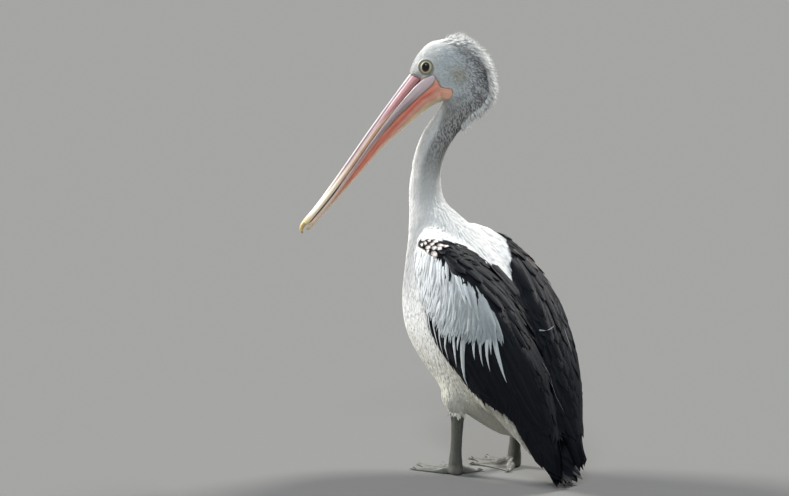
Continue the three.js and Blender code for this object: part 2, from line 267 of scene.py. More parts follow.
STUB_END = MOUTH_CORNER + OUTWARD * 0.020
SKIN_VOXEL = 0.0042
SWELL = 0.006  # closes the seams between the solids and the furrows between wings and trunk
SKIN_ROUNDS = 80
THIN_SHARE = 0.3  # the coat takes at most this share of a thin part from each side
DEPTH_ROUNDS = 8
FINISH_ROUNDS = 12
skin_mesh = fine_copy("skin", FLESH + SOCKETS, SKIN_VOXEL, SKIN_ROUNDS, SWELL, (STUB_END, OUTWARD))
skin_places = places(skin_mesh)
skin_faces = [tuple(face.vertices) for face in skin_mesh.polygons]
swelled = BVHTree.FromPolygons(skin_places.tolist(), skin_faces)
inward = -read(skin_mesh.vertices, "normal", 3)
thickness = np.array([
    swelled.ray_cast(Vector(place + way * 0.001), Vector(way))[3] or 1.0
    for place, way in zip(skin_places, inward)
])
depth = SWELL + np.minimum(coat_depth(skin_places), (thickness - 2 * SWELL).clip(0) * THIN_SHARE)
depth = relaxed(skin_mesh, depth[:, None], DEPTH_ROUNDS, push=EVEN_OUT)
skin_places = relaxed(skin_mesh, skin_places + inward * depth, FINISH_ROUNDS)
# The breast and belly are evened out more, without losing their fullness.
BELLY_ROUNDS = 80
settle(skin_mesh, skin_places)
outward = read(skin_mesh.vertices, "normal", 3)
evened = relaxed(skin_mesh, skin_places, BELLY_ROUNDS, push=EVEN_OUT)
fullness = ((skin_places - evened) * outward).sum(1, keepdims=True)
evened = evened + outward * relaxed(skin_mesh, fullness, BELLY_ROUNDS, push=EVEN_OUT)
down, turn = on_trunk(skin_places)
on_belly = rise(turn, 94, 108) * (1 - rise(down, 0.42, 0.50)) * rise(down, -0.04, 0.04)
on_belly = (on_belly * rise(height_of(skin_places), 0.160, 0.205))[:, None]
skin_places = skin_places * (1 - on_belly) + evened * on_belly
# The tail's feathers reach past its flesh.
TAILWARD = np.array([0, 0.761, -0.649])
TAIL_OVERHANG = 0.016
skin_places -= TAIL_OVERHANG * rise(skin_places[:, 1:2] - GROUND.y, 0.195, 0.245) * TAILWARD
settle(skin_mesh, skin_places)
skin = linked(skin_mesh, "skin")


# ---- Body plumage ----
# Short soft contour feathers, each one a thin vane set in the skin by its quill. They overlap like
# tiles from the bill to the tail.
def surface_of(piece):
    """What a coat needs to know of the surface it grows on, with the surface's own unwrap."""
    mesh = piece.data
    mesh.uv_layers.new(name="unwrap")
    for other in bpy.context.view_layer.objects:
        other.select_set(other == piece)
    bpy.context.view_layer.objects.active = piece
    bpy.ops.object.mode_set(mode="EDIT")
    bpy.ops.mesh.select_all(action="SELECT")
    bpy.ops.uv.smart_project(angle_limit=math.radians(66), island_margin=0.002)
    bpy.ops.object.mode_set(mode="OBJECT")
    mesh = piece.data
    faces = [tuple(face.vertices) for face in mesh.polygons]
    co = places(mesh)
    return SimpleNamespace(
        piece=piece,
        places=co,
        tree=BVHTree.FromPolygons(co.tolist(), faces),
        normals=read(mesh.vertices, "normal", 3).astype(float),
        corners=np.array([(corners + corners[:1])[:4] for corners in faces]),
        unwrap=read(mesh.uv_layers["unwrap"].uv, "vector", 2),
        starts=read(mesh.polygons, "loop_start", 1, np.int32)[:, 0],
    )


def nearest_on(surface, points):
    """The nearest places on a surface, the way it faces there, and the face that each lies in."""
    found = [surface.tree.find_nearest(point) for point in points.tolist()]
    spots = np.array([hit[0] for hit in found])
    faces = np.array([hit[2] for hit in found])
    corners = surface.corners[faces]
    near = 1 / (np.linalg.norm(surface.places[corners] - spots[:, None], axis=2) + 1e-5)
    return spots, unit((surface.normals[corners] * near[:, :, None]).sum(1)), faces


def scattered(surface, spacing, seed):
    """Points over a whole surface, evenly spaced and in no pattern."""
    group = bpy.data.node_groups.new("scatter", "GeometryNodeTree")
    for way in ("INPUT", "OUTPUT"):
        group.interface.new_socket("Geometry", in_out=way, socket_type="NodeSocketGeometry")
    start = group.nodes.new("NodeGroupInput")
    spread = group.nodes.new("GeometryNodeDistributePointsOnFaces")
    to_vertices = group.nodes.new("GeometryNodePointsToVertices")
    end = group.nodes.new("NodeGroupOutput")
    spread.distribute_method = "POISSON"
    spread.inputs["Distance Min"].default_value = spacing
    spread.inputs["Density Max"].default_value = 4 / spacing**2
    spread.inputs["Seed"].default_value = seed
    group.links.new(start.outputs[0], spread.inputs["Mesh"])
    group.links.new(spread.outputs["Points"], to_vertices.inputs["Points"])
    group.links.new(to_vertices.outputs["Mesh"], end.inputs[0])
    modifier = surface.piece.modifiers.new("scatter", "NODES")
    modifier.node_group = group
    cloud = as_shown(surface.piece)
    surface.piece.modifiers.remove(modifier)
    return places(cloud)


def vane(sides, cuts, outline):
    """A thin closed vane from its quill at 0 to its tip at 1.

    It gives each corner's place across, over and along the vane, and the corners of each face.
    """
    bm = bmesh.new()
    bmesh.ops.create_cone(bm, cap_ends=False, segments=sides, radius1=1, radius2=1, depth=1)
    for cut in cuts:
        cut_across(bm, (0, 0, cut - 0.5), UP)
    for end in (-0.5, 0.5):
        ring = [corner for corner in bm.verts if abs(corner.co.z - end) < 1e-6]
        bmesh.ops.pointmerge(bm, verts=ring, merge_co=(0, 0, end))
    for corner in bm.verts:
        corner.co.z += 0.5
        wide = np.interp(corner.co.z, *outline)
        corner.co.x *= wide
        corner.co.y *= min(1, wide * 1.5)
    bmesh.ops.recalc_face_normals(bm, faces=bm.faces)
    bm.verts.index_update()
    shape = np.array([corner.co for corner in bm.verts])
    loops = [[corner.index for corner in face.verts] for face in bm.faces]
    bm.free()
    return shape, loops


def flat_on(normals, vectors):
    return unit(vectors - normals * (vectors * normals).sum(1, keepdims=True))


def lie(points):
    """The way that the coat runs: from the bill over the head, down the neck and along the trunk."""
    away = unit(points - np.array(SKULL + AHEAD * 0.095 - UP * 0.012)) - np.array(UP) * 0.75
    down = -np.tile(UP, (len(points), 1))
    along = np.tile(AXIS, (len(points), 1))
    height = height_of(points)
    head = rise(height, 0.80, 0.88)[:, None]
    trunk = rise(-height, -0.58, -0.46)[:, None]
    thigh = rise(-height, -0.24, -0.19)[:, None] * (np.abs(points[:, :1] - GROUND.x) > 0.04)
    trunk = trunk * (1 - thigh)
    return unit(away * head + along * trunk + down * (1 - head - trunk))


def varied(count, low, high, seed):
    return np.random.default_rng(seed).uniform(low, high, count)


# A feather follows the skin step by step, but runs on straight over an edge: where the skin turns away
# sharply, or lies further off than this and half a step.
SHARP_TURN = 0.45
OVER_A_GAP = 0.004


def feathered(name, shape, roots, heading, length, width, lift, colour, seed, thick=0.0004, sink=0.0008,
              camber=0.25, curl=0.12, bend=0.0, sweep=0.0, base=0.0, surface=None, stray=0.2,
              stiff_face=None):
    """Sets a vane at each root. Each lies along the skin by its heading and rises by lift towards its tip.

    With a sweep, each bows to one side like a sickle. One whose tip ends a stray's length off the skin is
    left out. With stiff faces, they run straight from their roots, clear of the skin, each with its face
    turned that way.
    """
    surface = surface or body
    corners, _ = shape
    count = len(roots)
    across, over, along = corners.T
    stations, station_of = np.unique(along.round(5), return_inverse=True)
    spot, out, first_faces = nearest_on(surface, roots)
    if stiff_face is not None:
        spot = roots
        out = flat_on(unit(heading), stiff_face)
    way = flat_on(out, heading)
    length = np.broadcast_to(length, count)
    roll = varied(count, -curl, curl, seed)
    swerve = varied(count, -1, 1, seed + 1) * bend
    centres, sides, outs = [], [], []
    before = 0.0
    for at in stations:
        stride = ((at - before) * length)[:, None]
        if at > 0:
            side = np.cross(way, out)
            ahead = spot + (way + side * (swerve + sweep * (2 * at - 1))[:, None]) * stride
            near, facing, _ = nearest_on(surface, ahead)
            turned_away = (facing * out).sum(1) < SHARP_TURN
            far_off = np.linalg.norm(near - ahead, axis=1) > 0.5 * stride[:, 0] + OVER_A_GAP
            straight = (turned_away | far_off | (stiff_face is not None))[:, None]
            spot = np.where(straight, ahead, near)
            out = np.where(straight, out, facing)
            way = flat_on(out, way)
        before = at
        side = np.cross(way, out)
        turn = (roll * at)[:, None]
        sides.append(side * np.cos(turn) + out * np.sin(turn))
        outs.append(out)
        rises = np.broadcast_to(base - sink * (1 - at) ** 2 + lift * at**1.2, count)
        centres.append(spot + out * rises[:, None])
    kept = np.linalg.norm(nearest_on(surface, centres[-1])[0] - centres[-1], axis=1) < stray
    centres, sides, outs = (np.stack(part, 1)[kept][:, station_of] for part in (centres, sides, outs))
    half = np.broadcast_to(width, count)[kept][:, None]
    count = len(half)
    vanes = centres + sides * (across * half)[:, :, None]
    vanes += outs * (over * thick - camber * across**2 * half)[:, :, None]
    tints = colour(centres, outs, across, along) if callable(colour) else colour.reshape(-1, 1, 3)
    tints = np.broadcast_to(tints, (count, len(corners), 3))
    return made_vanes(name, shape, vanes, tints, surface, first_faces[kept], seed)


def keep_colours(mesh, name, colours):
    """Keeps a colour on each point of a mesh, for its material."""
    rgba = np.ones((len(mesh.vertices), 4), np.float32)
    rgba[:, :3] = colours
    mesh.attributes.new(name, "FLOAT_COLOR", "POINT").data.foreach_set("color", rgba.ravel())


def keep_places(mesh, name, *coordinates):
    """Keeps a piece's own coordinates on its points, for its material."""
    own = mesh.attributes.new(name, "FLOAT_VECTOR", "POINT")
    own.data.foreach_set("vector", np.stack(coordinates, -1).astype(np.float32).ravel())


BAKE_PATCH = 0.003  # of the unwrap's width, for each vane


def made_vanes(name, shape, vanes, tints, surface, faces, seed):
    """Joins vanes into one mesh, with their colours, their own coordinates and the bake's map."""
    corners, loops = shape
    count, each = vanes.shape[:2]
    nth = np.arange(count)[:, None]
    flat = np.array([corner for loop in loops for corner in loop])
    sizes = np.array([len(loop) for loop in loops])
    mesh = bpy.data.meshes.new(name)
    mesh.vertices.add(count * each)
    mesh.vertices.foreach_set("co", vanes.astype(np.float32).ravel())
    mesh.loops.add(count * len(flat))
    mesh.loops.foreach_set("vertex_index", (flat + nth * each).astype(np.int32).ravel())
    mesh.polygons.add(count * len(sizes))
    starts = np.concatenate([[0], np.cumsum(sizes)[:-1]])
    mesh.polygons.foreach_set("loop_start", (starts + nth * len(flat)).astype(np.int32).ravel())
    mesh.update(calc_edges=True)
    keep_colours(mesh, "plumage", tints.reshape(-1, 3))
    across, _, along = corners.T
    seeds = varied(count, 0, 1, seed + 2)
    keep_places(mesh, "vane", *np.broadcast_arrays(across, along, seeds[:, None]))
    middles = surface.unwrap[surface.starts[faces][:, None] + np.arange(3)].mean(1)
    patch = np.stack([across, along * 2 - 1], 1)[flat] * BAKE_PATCH / 2
    bake = mesh.uv_layers.new(name="OFBake")
    bake.uv.foreach_set("vector", (middles[:, None] + patch).astype(np.float32).ravel())
    mesh.shade_smooth()
    mesh.set_sharp_from_angle(angle=math.radians(70))
    piece = linked(mesh, name)
    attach(piece, "root")
    return piece


body = surface_of(skin)
skin_mesh = skin.data

# ---- Markings ----
# What grows on the skin takes its colour from its place: white below and on the neck, with painted shade
# darkening and warming it towards the belly, grey at the nape, black above. The skin under it is dyed the
# same, so that no gap shows.
WHITE = np.array([0.76, 0.76, 0.745])
CHEEK = np.array([0.58, 0.62, 0.63])
NECK_GREY = np.array([0.32, 0.32, 0.30])
NAPE_GREY = np.array([0.37, 0.36, 0.36])
NAPE_BROWN = np.array([0.075, 0.058, 0.060])
BLACK = np.array([0.007, 0.008, 0.011])
BARE_ORANGE = np.array([0.86, 0.45, 0.33])
# The lower body's white, darker and warmer: painted shade.
BELLY_PAINTED_SHADE = np.array([0.56, 0.545, 0.46])
BROWNED = np.array([0.78, 0.70, 0.58])  # the red, green and blue left in the browner patch behind the eye

# The black of the upperparts, by distance down the trunk (metres) and turn round it (degrees).
# The white mantle is a V whose tip hangs over to the right.
MANTLE_LEFT = ([0.020, 0.049, 0.072, 0.108, 0.125, 0.154, 0.175, 0.182, 0.260],
               [80, 53, 40, 27, 10, 2, -9, -12, 0])
MANTLE_RIGHT = ([0.020, 0.045, 0.072, 0.100, 0.131, 0.153, 0.175, 0.190, 0.260],
                [82, 64, 52, 40, 27, 17, 12, 10, 0])
SCAPULAR_EDGE = ([0.030, 0.043, 0.076, 0.108, 0.153, 0.186, 0.225, 0.300, 0.340, 0.400],
                 [84, 77, 64, 56, 50, 44, 42, 43, 48, 60])
WING_EDGE = ([0.149, 0.161, 0.219, 0.250, 0.289, 0.354, 0.399, 0.444, 0.477, 0.509, 0.538, 0.563, 0.640],
             [90, 95, 112, 108, 100, 96, 90, 70, 67, 65, 68, 74, 110])
COVERT_END = ([40, 50, 53, 59, 67, 73, 84, 88, 91, 100, 112],
              [0.330, 0.322, 0.305, 0.298, 0.282, 0.262, 0.255, 0.205, 0.175, 0.150, 0.140])
RIGHT_DRAPE = 9  # the scapulars hang this many degrees lower on the right

# Forward of the skull's middle, by height above the floor: where the white of the throat ends, and
# the back of the head and neck.
THROAT_LINE = ([0.600, 0.645, 0.700, 0.752, 0.780, 0.800, 0.823, 0.845, 0.862, 0.875],
               [0.068, 0.074, 0.069, 0.048, 0.031, 0.027, 0.019, 0.019, 0.040, 0.200])
NAPE_LINE = ([0.645, 0.700, 0.752, 0.780, 0.812, 0.836, 0.867, 0.896, 0.924, 0.947, 0.966, 0.990],
             [0.026, 0.021, 0.003, -0.015, -0.058, -0.077, -0.088, -0.091, -0.088, -0.080, -0.065, -0.030])


def plain(colour, count):
    """One colour for each of so many points."""
    return np.tile(colour, (count, 1))


def blended(under, over, share):
    return under * (1 - share[:, None]) + np.asarray(over) * share[:, None]


def past_mantle(points):
    """Degrees past the edge of the white mantle, on whichever side is the nearer."""
    down, turn = on_trunk(points)
    leftward = turn * np.sign(points[:, 0] - AXIS_TOP.x)
    past_left = leftward - np.interp(down, *MANTLE_LEFT)
    return np.maximum(past_left, -leftward - np.interp(down, *MANTLE_RIGHT))


def past_scapulars(points):
    """Degrees below the lower edge of the black scapulars."""
    down, turn = on_trunk(points)
    return turn - np.interp(down, *SCAPULAR_EDGE) - RIGHT_DRAPE * (points[:, 0] < AXIS_TOP.x)


MANTLE_FOOT = 0.40  # down the trunk; below it the back is black all over
RUMP = 0.575  # down the trunk; past it the black closes round the tail, and sooner underneath
SOONER_BELOW = ([140, 180], [0, 0.06])


def blackness(points):
    """1 where the plumage is black: shoulder to tail, but for the mantle and the wing coverts."""
    down, turn = on_trunk(points)
    off_mantle = np.maximum(rise(past_mantle(points), -1, 1), rise(down, MANTLE_FOOT, MANTLE_FOOT + 0.02))
    behind_mantle = off_mantle * rise(down, 0.018, 0.022)
    round_tail = rise(down + np.interp(turn, *SOONER_BELOW), RUMP, RUMP + 0.015)
    above_belly = np.maximum(rise(np.interp(down, *WING_EDGE) - turn, -1, 1), round_tail)
    is_covert = rise(past_scapulars(points), -1, 1)
    is_covert = is_covert * rise(np.interp(turn, *COVERT_END) - down, -0.002, 0.002)
    return behind_mantle * above_belly * (1 - is_covert) * rise(-height_of(points), -0.62, -0.60)


# Half the width of the white band, from the nape over the crown to the forehead.
CREST_HALF_WIDTH = ([-0.08, 0.00, 0.04, 0.08, 0.11], [0.012, 0.016, 0.021, 0.038, 0.060])


def crest_share(points):
    """1 on the white band over the forehead, crown and nape."""
    forward, above, aside = in_head(points).T
    half = np.interp(forward + 0.4 * above, *CREST_HALF_WIDTH)
    half = half * np.interp(above, [-0.13, -0.06, 0.0], [0.5, 0.85, 1.1])
    on_top = rise(above - 1.1 * forward + 0.06 * rise(forward, 0.02, 0.06), -0.085, -0.045)
    forehead = rise(forward + 0.75 * above, 0.073, 0.098)
    return np.maximum((1 - rise(np.abs(aside), half, half + 0.006)) * on_top, forehead * 0.9)


def greyness(points):
    """How grey the sides of the head and neck are: 0 on the throat, 1 at the nape."""
    forward = in_head(points)[:, 0]
    height = height_of(points)
    side = 1 - rise(forward - np.interp(height, *THROAT_LINE), -0.009, 0.007)
    dark = 1 - rise(forward - np.interp(height, *NAPE_LINE), 0.012, 0.082)
    return side, dark * rise(height, 0.66, 0.80)


# The bare skin behind the corners of the bill, by distance forward of the skull's middle: its upper
# and lower edges, as heights above that middle.
GAPE_TOP = ([-0.006, -0.003, 0.012, 0.025, 0.029, 0.035, 0.046, 0.066],
            [-0.037, -0.031, -0.029, -0.027, -0.016, -0.010, -0.008, -0.008])
GAPE_FOOT = ([-0.006, -0.004, 0.001, 0.009, 0.018, 0.030, 0.066],
             [-0.040, -0.046, -0.052, -0.056, -0.057, -0.054, -0.048])


def bare_gape(points, margin=0.0):
    """1 on the bare skin behind the corners of the bill, or on what is left of it inside a margin."""
    forward, above, _ = in_head(points).T
    below_top = rise(np.interp(forward, *GAPE_TOP) - margin - above, -0.001, 0.001)
    above_foot = rise(above - margin - np.interp(forward, *GAPE_FOOT), -0.001, 0.001)
    return below_top * above_foot * rise(forward - margin, -0.007, -0.005)


def markings(points):
    """The colour of the plumage over these places on the skin."""
    colour = plain(WHITE, len(points))
    height = height_of(points)
    forward, above, aside = in_head(points).T
    side, dark = greyness(points)
    pale = blended(plain(NECK_GREY, len(points)), CHEEK, rise(height, 0.82, 0.88))
    up_the_neck = 0.35 * rise(height, 0.56, 0.64) + 0.65 * rise(height, 0.64, 0.74)
    colour = blended(colour, pale, side * up_the_neck)
    on_face = rise(forward + 0.2 * above, 0.018, 0.060) * rise(above, -0.030, 0.0)
    colour = blended(colour, WHITE, 0.75 * on_face)
    behind_eye = np.exp(-(((forward + 0.018) / 0.022) ** 2) - ((above - 0.002) / 0.018) ** 2)
    colour = blended(colour, colour * BROWNED, behind_eye * side)
    colour = blended(colour, NAPE_GREY, side * dark * 0.85)
    crest = crest_share(points)
    border = np.exp(-(((np.abs(aside) - 0.023) / 0.006) ** 2)) * rise(above - 1.1 * forward, 0.050, 0.085)
    border = border * np.interp(above, [-0.10, -0.06, 0.02, 0.07], [0.0, 0.5, 0.4, 0.2])
    colour = blended(colour, NAPE_BROWN, border)
    colour = blended(colour, WHITE * 0.98, crest * rise(height, 0.76, 0.82))
    colour = blended(colour, BARE_ORANGE, bare_gape(points))
    # Painted shade: the white darkens and warms down towards the floor.
    colour = blended(colour, BELLY_PAINTED_SHADE, 0.9 * rise(-height, -0.42, -0.20))
    return blended(colour, BLACK, blackness(points))


def speckled(points, colour, seed):
    """Grey tufts are dark or pale at random, so that the nape looks peppered."""
    side, dark = greyness(points)
    amount = side * (0.25 + 0.75 * dark) * (1 - crest_share(points)) * rise(height_of(points), 0.62, 0.78)
    pick = varied(len(points), 0, 1, seed)
    amount = np.maximum(amount, 0.35 * (pick > 0.86) * side * rise(height_of(points), 0.80, 0.86))
    peppered = np.where((pick < 0.42 + 0.12 * dark)[:, None], colour * 0.22, colour * 1.5 + 0.05)
    return blended(colour, peppered, amount * 0.9)


keep_colours(skin_mesh, "plumage", markings(skin_places))


def feed(tree, node, inputs):
    """Sets a node's inputs, each to a value or to what another node gives."""
    for name, value in inputs.items():
        if isinstance(value, bpy.types.NodeSocket):
            tree.links.new(value, node.inputs[name])
        else:
            node.inputs[name].default_value = value


def node_in(tree, kind, inputs, **settings):
    """Adds a node for a finish. Its settings are made first, because its inputs depend on them."""
    node = tree.nodes.new("ShaderNode" + kind)
    for name, value in settings.items():
        setattr(node, name, value)
    feed(tree, node, inputs)
    return node


def plumage_material(name, rough, barbs, shaft, sheen, gloss):
    """Barbs run out from the shaft to the edges at a slant. Each feather is a little lighter or darker."""
    material = bpy.data.materials.new(name)
    material.use_nodes = True
    tree = material.node_tree

    def math_node(kind, first, second=0.5):
        return node_in(tree, "Math", {0: first, 1: second}, operation=kind).outputs[0]

    colour = node_in(tree, "Attribute", {}, attribute_name="plumage")
    own = node_in(tree, "Attribute", {}, attribute_name="vane")
    across, along, seed = node_in(tree, "SeparateXYZ", {0: own.outputs["Vector"]}).outputs
    aside = math_node("ABSOLUTE", across)
    slant = math_node("SUBTRACT", math_node("MULTIPLY", along, barbs), math_node("MULTIPLY", aside, 30.0))
    ridge = math_node("SINE", math_node("ADD", slant, math_node("MULTIPLY", seed, 40.0)))
    on_shaft = math_node("SUBTRACT", 1.0, math_node("SMOOTH_MIN", math_node("MULTIPLY", aside, 7.0), 1.0))
    place = node_in(tree, "TexCoord", {})
    grain = node_in(tree, "TexNoise", {"Vector": place.outputs["Object"], "Scale": 140, "Detail": 3})
    tone = math_node("ADD", 0.90, math_node("MULTIPLY", seed, 0.16))
    tone = math_node("ADD", tone, math_node("MULTIPLY", ridge, 0.05))
    tone = math_node("ADD", tone, math_node("MULTIPLY", on_shaft, shaft))
    tone = math_node("MULTIPLY", tone, math_node("ADD", 0.86, math_node("MULTIPLY", grain.outputs[0], 0.26)))
    toned = node_in(tree, "VectorMath", {0: colour.outputs["Color"], "Scale": tone}, operation="SCALE")
    raised = math_node("ADD", math_node("MULTIPLY", ridge, 0.5), on_shaft)
    bump = node_in(tree, "Bump", {"Strength": 0.35, "Distance": 0.0006, "Height": raised})
    feed(tree, tree.nodes["Principled BSDF"], {
        "Base Color": toned.outputs[0],
        "Roughness": math_node("ADD", rough, math_node("MULTIPLY", ridge, 0.06)),
        "Normal": bump.outputs[0],
        "Sheen Weight": sheen,
        "Sheen Roughness": 0.5,
        "Specular IOR Level": gloss,
    })
    return material


soft = plumage_material("soft_plumage", 0.80, 200.0, 0.06, 0.2, 0.2)
glossy = plumage_material("flight_plumage", 0.50, 500.0, 0.6, 0.0, 0.10)
skin_mesh.materials.append(soft)
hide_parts(*FLESH)
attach(skin, "root")

TUFT = vane(3, (0.45,), ([0, 0.45, 1], [0.5, 1, 0.0]))
PLUME = vane(3, (0.3, 0.72), ([0, 0.3, 0.72, 1], [0.3, 1, 0.8, 0]))


def under_wing_feathers(points):
    """1 where the long wing feathers hide a plume, from its root to near its tip."""
    hidden = 0
    for far in (0.0, 0.012, 0.024):
        at = points + np.array(AXIS) * far
        down, turn = on_trunk(at)
        over = rise(past_mantle(at), 3, 4) * rise(down, 0.02, 0.03)
        hidden = np.maximum(hidden, over * rise(np.interp(down, *WING_EDGE) - turn, -2, -1))
    return hidden


def plume_length(points):
    """Short at the root of the neck and where a wing closes over the flank."""
    down, turn = on_trunk(points + np.array(AXIS) * 0.035)
    tucked = rise(np.interp(down, *WING_EDGE) - turn, -2, 3) * rise(turn, 82, 88)
    free = np.interp(height_of(points), [0.16, 0.24, 0.50, 0.66], [0.018, 0.034, 0.034, 0.018])
    return free * (1 - 0.6 * tucked)


EYE_ROOM = 0.0176  # the radius of the bare skin, which is a little wider than it is high


def near_eye(points):
    """1 on the bare skin round each eye."""
    forward, above, aside = in_head(points).T
    from_eye = np.hypot((forward - EYE_FORWARD) / 1.06, above - EYE_ABOVE)
    return (from_eye < EYE_ROOM) * (np.abs(aside) > 0.015)


def planted(name, shape, spacing, seed, keep, length, width, lift, material, slot, **more):
    """One kind of contour feather over the part of the skin where it is kept, but for the bare skin."""
    roots = scattered(body, spacing, seed)
    covered = keep(roots) * (1 - bare_gape(roots, -0.002)) * (1 - near_eye(roots))
    roots = roots[covered > varied(len(roots), 0, 1, seed + 5)]
    count = len(roots)
    tint = speckled(roots, markings(roots), seed + 9)[:, None, :]
    piece = feathered(
        name, shape, roots,
        lie(roots) + varied((count, 3), -0.10, 0.10, seed + 6),
        length(roots) * varied(count, 0.85, 1.15, seed + 7),
        width(roots) * varied(count, 0.85, 1.15, seed + 8),
        lift, lambda at, out, across, along: tint, seed, **more)
    piece.data.materials.append(material)


def even(value):
    return lambda points: np.full(len(points), value)


# How far apart the roots stand, and the heights over the floor at which the neck and the head begin.
BODY_SPACING = 0.0049
NECK_SPACING = 0.0026
HEAD_SPACING = 0.0022
CREST_SPACING = 0.0022
NECK_ROOT = (0.60, 0.66)
HEAD_ROOT = (0.83, 0.85)


def on_body(points):
    """1 below the neck, but for the tail and what the wings hide."""
    below_neck = rise(-height_of(points), -0.66, -0.62)
    return below_neck * (1 - under_wing_feathers(points)) * (on_trunk(points)[0] < 0.57)


def plume_width(points):
    return np.interp(height_of(points), [0.50, 0.66], [0.0044, 0.0026])


def on_neck(points):
    return rise(height_of(points), *NECK_ROOT) * (1 - rise(height_of(points), *HEAD_ROOT))


def on_head(points):
    return rise(height_of(points), *HEAD_ROOT)


def head_length(points):
    """Longer behind the face."""
    return 0.0050 + 0.0025 * rise(0.05 - in_head(points)[:, 0], 0, 0.08)


planted("body_plumes", PLUME, BODY_SPACING, 11, on_body, plume_length, plume_width, 0.0018,
        soft, "white_plumage", curl=0.12, camber=0.10)
planted("neck_plush", TUFT, NECK_SPACING, 12, on_neck, even(0.0085), even(0.0014), 0.0030,
        soft, "grey_plumage")
planted("head_plush", TUFT, HEAD_SPACING, 13, on_head, head_length, even(0.0012), 0.0022,
        soft, "white_plumage")

# The crest: loose pointed feathers that stand out from the crown and the nape, tallest over the crown.
CREST_FOOT = -0.145  # over the skull's middle
CREST_WIDTH = 0.0018
crest_roots = scattered(body, CREST_SPACING, 21)
forward, above, aside = in_head(crest_roots).T
in_band = np.abs(aside) < np.interp(above, [-0.13, -0.06, 0.0], [0.010, 0.015, 0.019])
on_crown = rise(above - 1.3 * forward, 0.045, 0.085) * rise(above, CREST_FOOT, CREST_FOOT + 0.02) * in_band
on_nape = (above < -0.04) * (forward < -0.02) * (above > -0.138) * in_band
standing = np.maximum(on_crown, on_nape)
crest_roots = crest_roots[standing > varied(len(crest_roots), 0, 1, 22)]
count = len(crest_roots)
forward, above, aside = in_head(crest_roots).T
flow = lie(crest_roots) + varied((count, 3), -0.45, 0.45, 23)
crest_length = np.interp(above, [-0.13, -0.02, 0.05, 0.080], [0.010, 0.012, 0.012, 0.013])
short_in_front = 0.35 + 0.65 * rise(0.03 - forward, -0.005, 0.035)
crest_length = crest_length * short_in_front * varied(count, 0.55, 1.3, 24)
crest_lift = crest_length * varied(count, 0.7, 1.5, 25)
# Each crest feather's white varies at random and is on the whole a little brighter than the body's: painted
# light for the sun through the crest.
crest_tones_with_painted_light = plain(WHITE, count) * varied((count, 1), 0.98, 1.12, 26)
crest = feathered("crest", TUFT, crest_roots, flow, crest_length, CREST_WIDTH, crest_lift, crest_tones_with_painted_light, 27,
                  base=0.001, bend=0.25)
crest.data.materials.append(soft)


# ---- Folded wings ----
# Long flight feathers and their coverts, laid in rows from the wing's edges and the back inwards. Each
# row covers the quills of the one behind it.
FLIGHT = vane(8, (0.12, 0.5, 0.86), ([0, 0.12, 0.5, 0.86, 1], [0.35, 0.8, 1, 0.75, 0]))
LANCE = vane(8, (0.2, 0.5, 0.8), ([0, 0.2, 0.5, 0.8, 1], [0.4, 1, 0.9, 0.55, 0]))
SCALE = vane(4, (0.3, 0.75), ([0, 0.3, 0.75, 1], [0.5, 1, 0.85, 0]))
SICKLE_OUTLINE = ([0, 0.15, 0.4, 0.68, 0.84, 1], [0.6, 0.9, 1, 0.62, 0.34, 0])
SICKLE = vane(8, (0.15, 0.32, 0.5, 0.68, 0.84), SICKLE_OUTLINE)
OUTSIDE = 0.35  # clear of the bird, from the trunk's axis


def on_wing(down, turn, side):
    """The skin's places at a distance down the trunk and a turn round it, on the left (1) or right (-1)."""
    found = []
    for far, angle in zip(down, np.radians(turn)):
        out = DORSAL * math.cos(angle) + Vector((side * math.sin(angle), 0, 0))
        start = AXIS_TOP + AXIS * far + out * OUTSIDE
        hit = body.tree.ray_cast(start, -out)[0]
        found.append(hit or start - out * OUTSIDE)
    return np.array(found)


def loose_roots(down, turn, side, seed, along=0.004):
    """The skin's places for a row whose quills stand a little out of line, down the trunk and round it."""
    down = down + varied(len(down), -along, along, seed + 1)
    turn = turn + varied(len(turn), -1, 1, seed + 2)
    return on_wing(down, turn, side)


def rows(downs, turns_at):
    """Staggered rows: for each distance down the trunk, the turns from low to high in steps."""
    down, turn = [], []
    for i, far in enumerate(downs):
        low, high, step = turns_at(far)
        angles = np.arange(low + step * 0.5 * (i % 2), high, step)
        down.extend([far] * len(angles))
        turn.extend(angles)
    return np.array(down), np.array(turn)


def slanted(roots, side, slant):
    """Down the trunk, slanted by some degrees towards the back where positive."""
    _, turn = on_trunk(roots)
    angle = np.radians(turn)[:, None]
    backward = -np.array([side, 0, 0]) * np.cos(angle) + np.array(DORSAL) * np.sin(angle)
    slant = np.radians(slant)[:, None]
    return np.array(AXIS) * np.cos(slant) + backward * np.sin(slant)


def swaying(count, sway, seed):
    """Straight down, each a little to one side."""
    return varied((count, 3), -sway, sway, seed) - np.array(UP)


# How far back the coverts drift as they hang, by degrees past the scapulars' edge. Forward is below 0.
DRIFT = ([0, 6, 16, 28, 40], [0.40, -0.10, -0.42, -0.10, 0.16])
SHOULDER_DRIFT = 0.15


def hanging(roots):
    """Straight down, drifting forward over the side of the wing and back along the scapulars' edge."""
    down, _ = on_trunk(roots)
    drift = np.interp(past_scapulars(roots), *DRIFT) * rise(down, 0.06, 0.16)
    drift = drift + SHOULDER_DRIFT * (1 - rise(down, 0.06, 0.14))
    return np.stack([np.zeros(len(roots)), drift, -np.ones(len(roots))], 1)


def room_before(roots, heading, longest, past, step=0.004):
    """How far each feather can run before it passes an edge."""
    reach = np.full(len(roots), longest)
    way = unit(heading)
    for far in np.arange(longest, 0.0, -step):
        reach = np.where(past(*on_trunk(roots + way * far)), far, reach)
    return reach


def past_coverts(down, turn):
    return down > np.interp(turn, *COVERT_END)


def past_wing(down, turn):
    return turn > np.interp(down, *WING_EDGE) - 2


def black_tone(at, out, across, along):
    return np.broadcast_to(BLACK, (len(at), 1, 3))


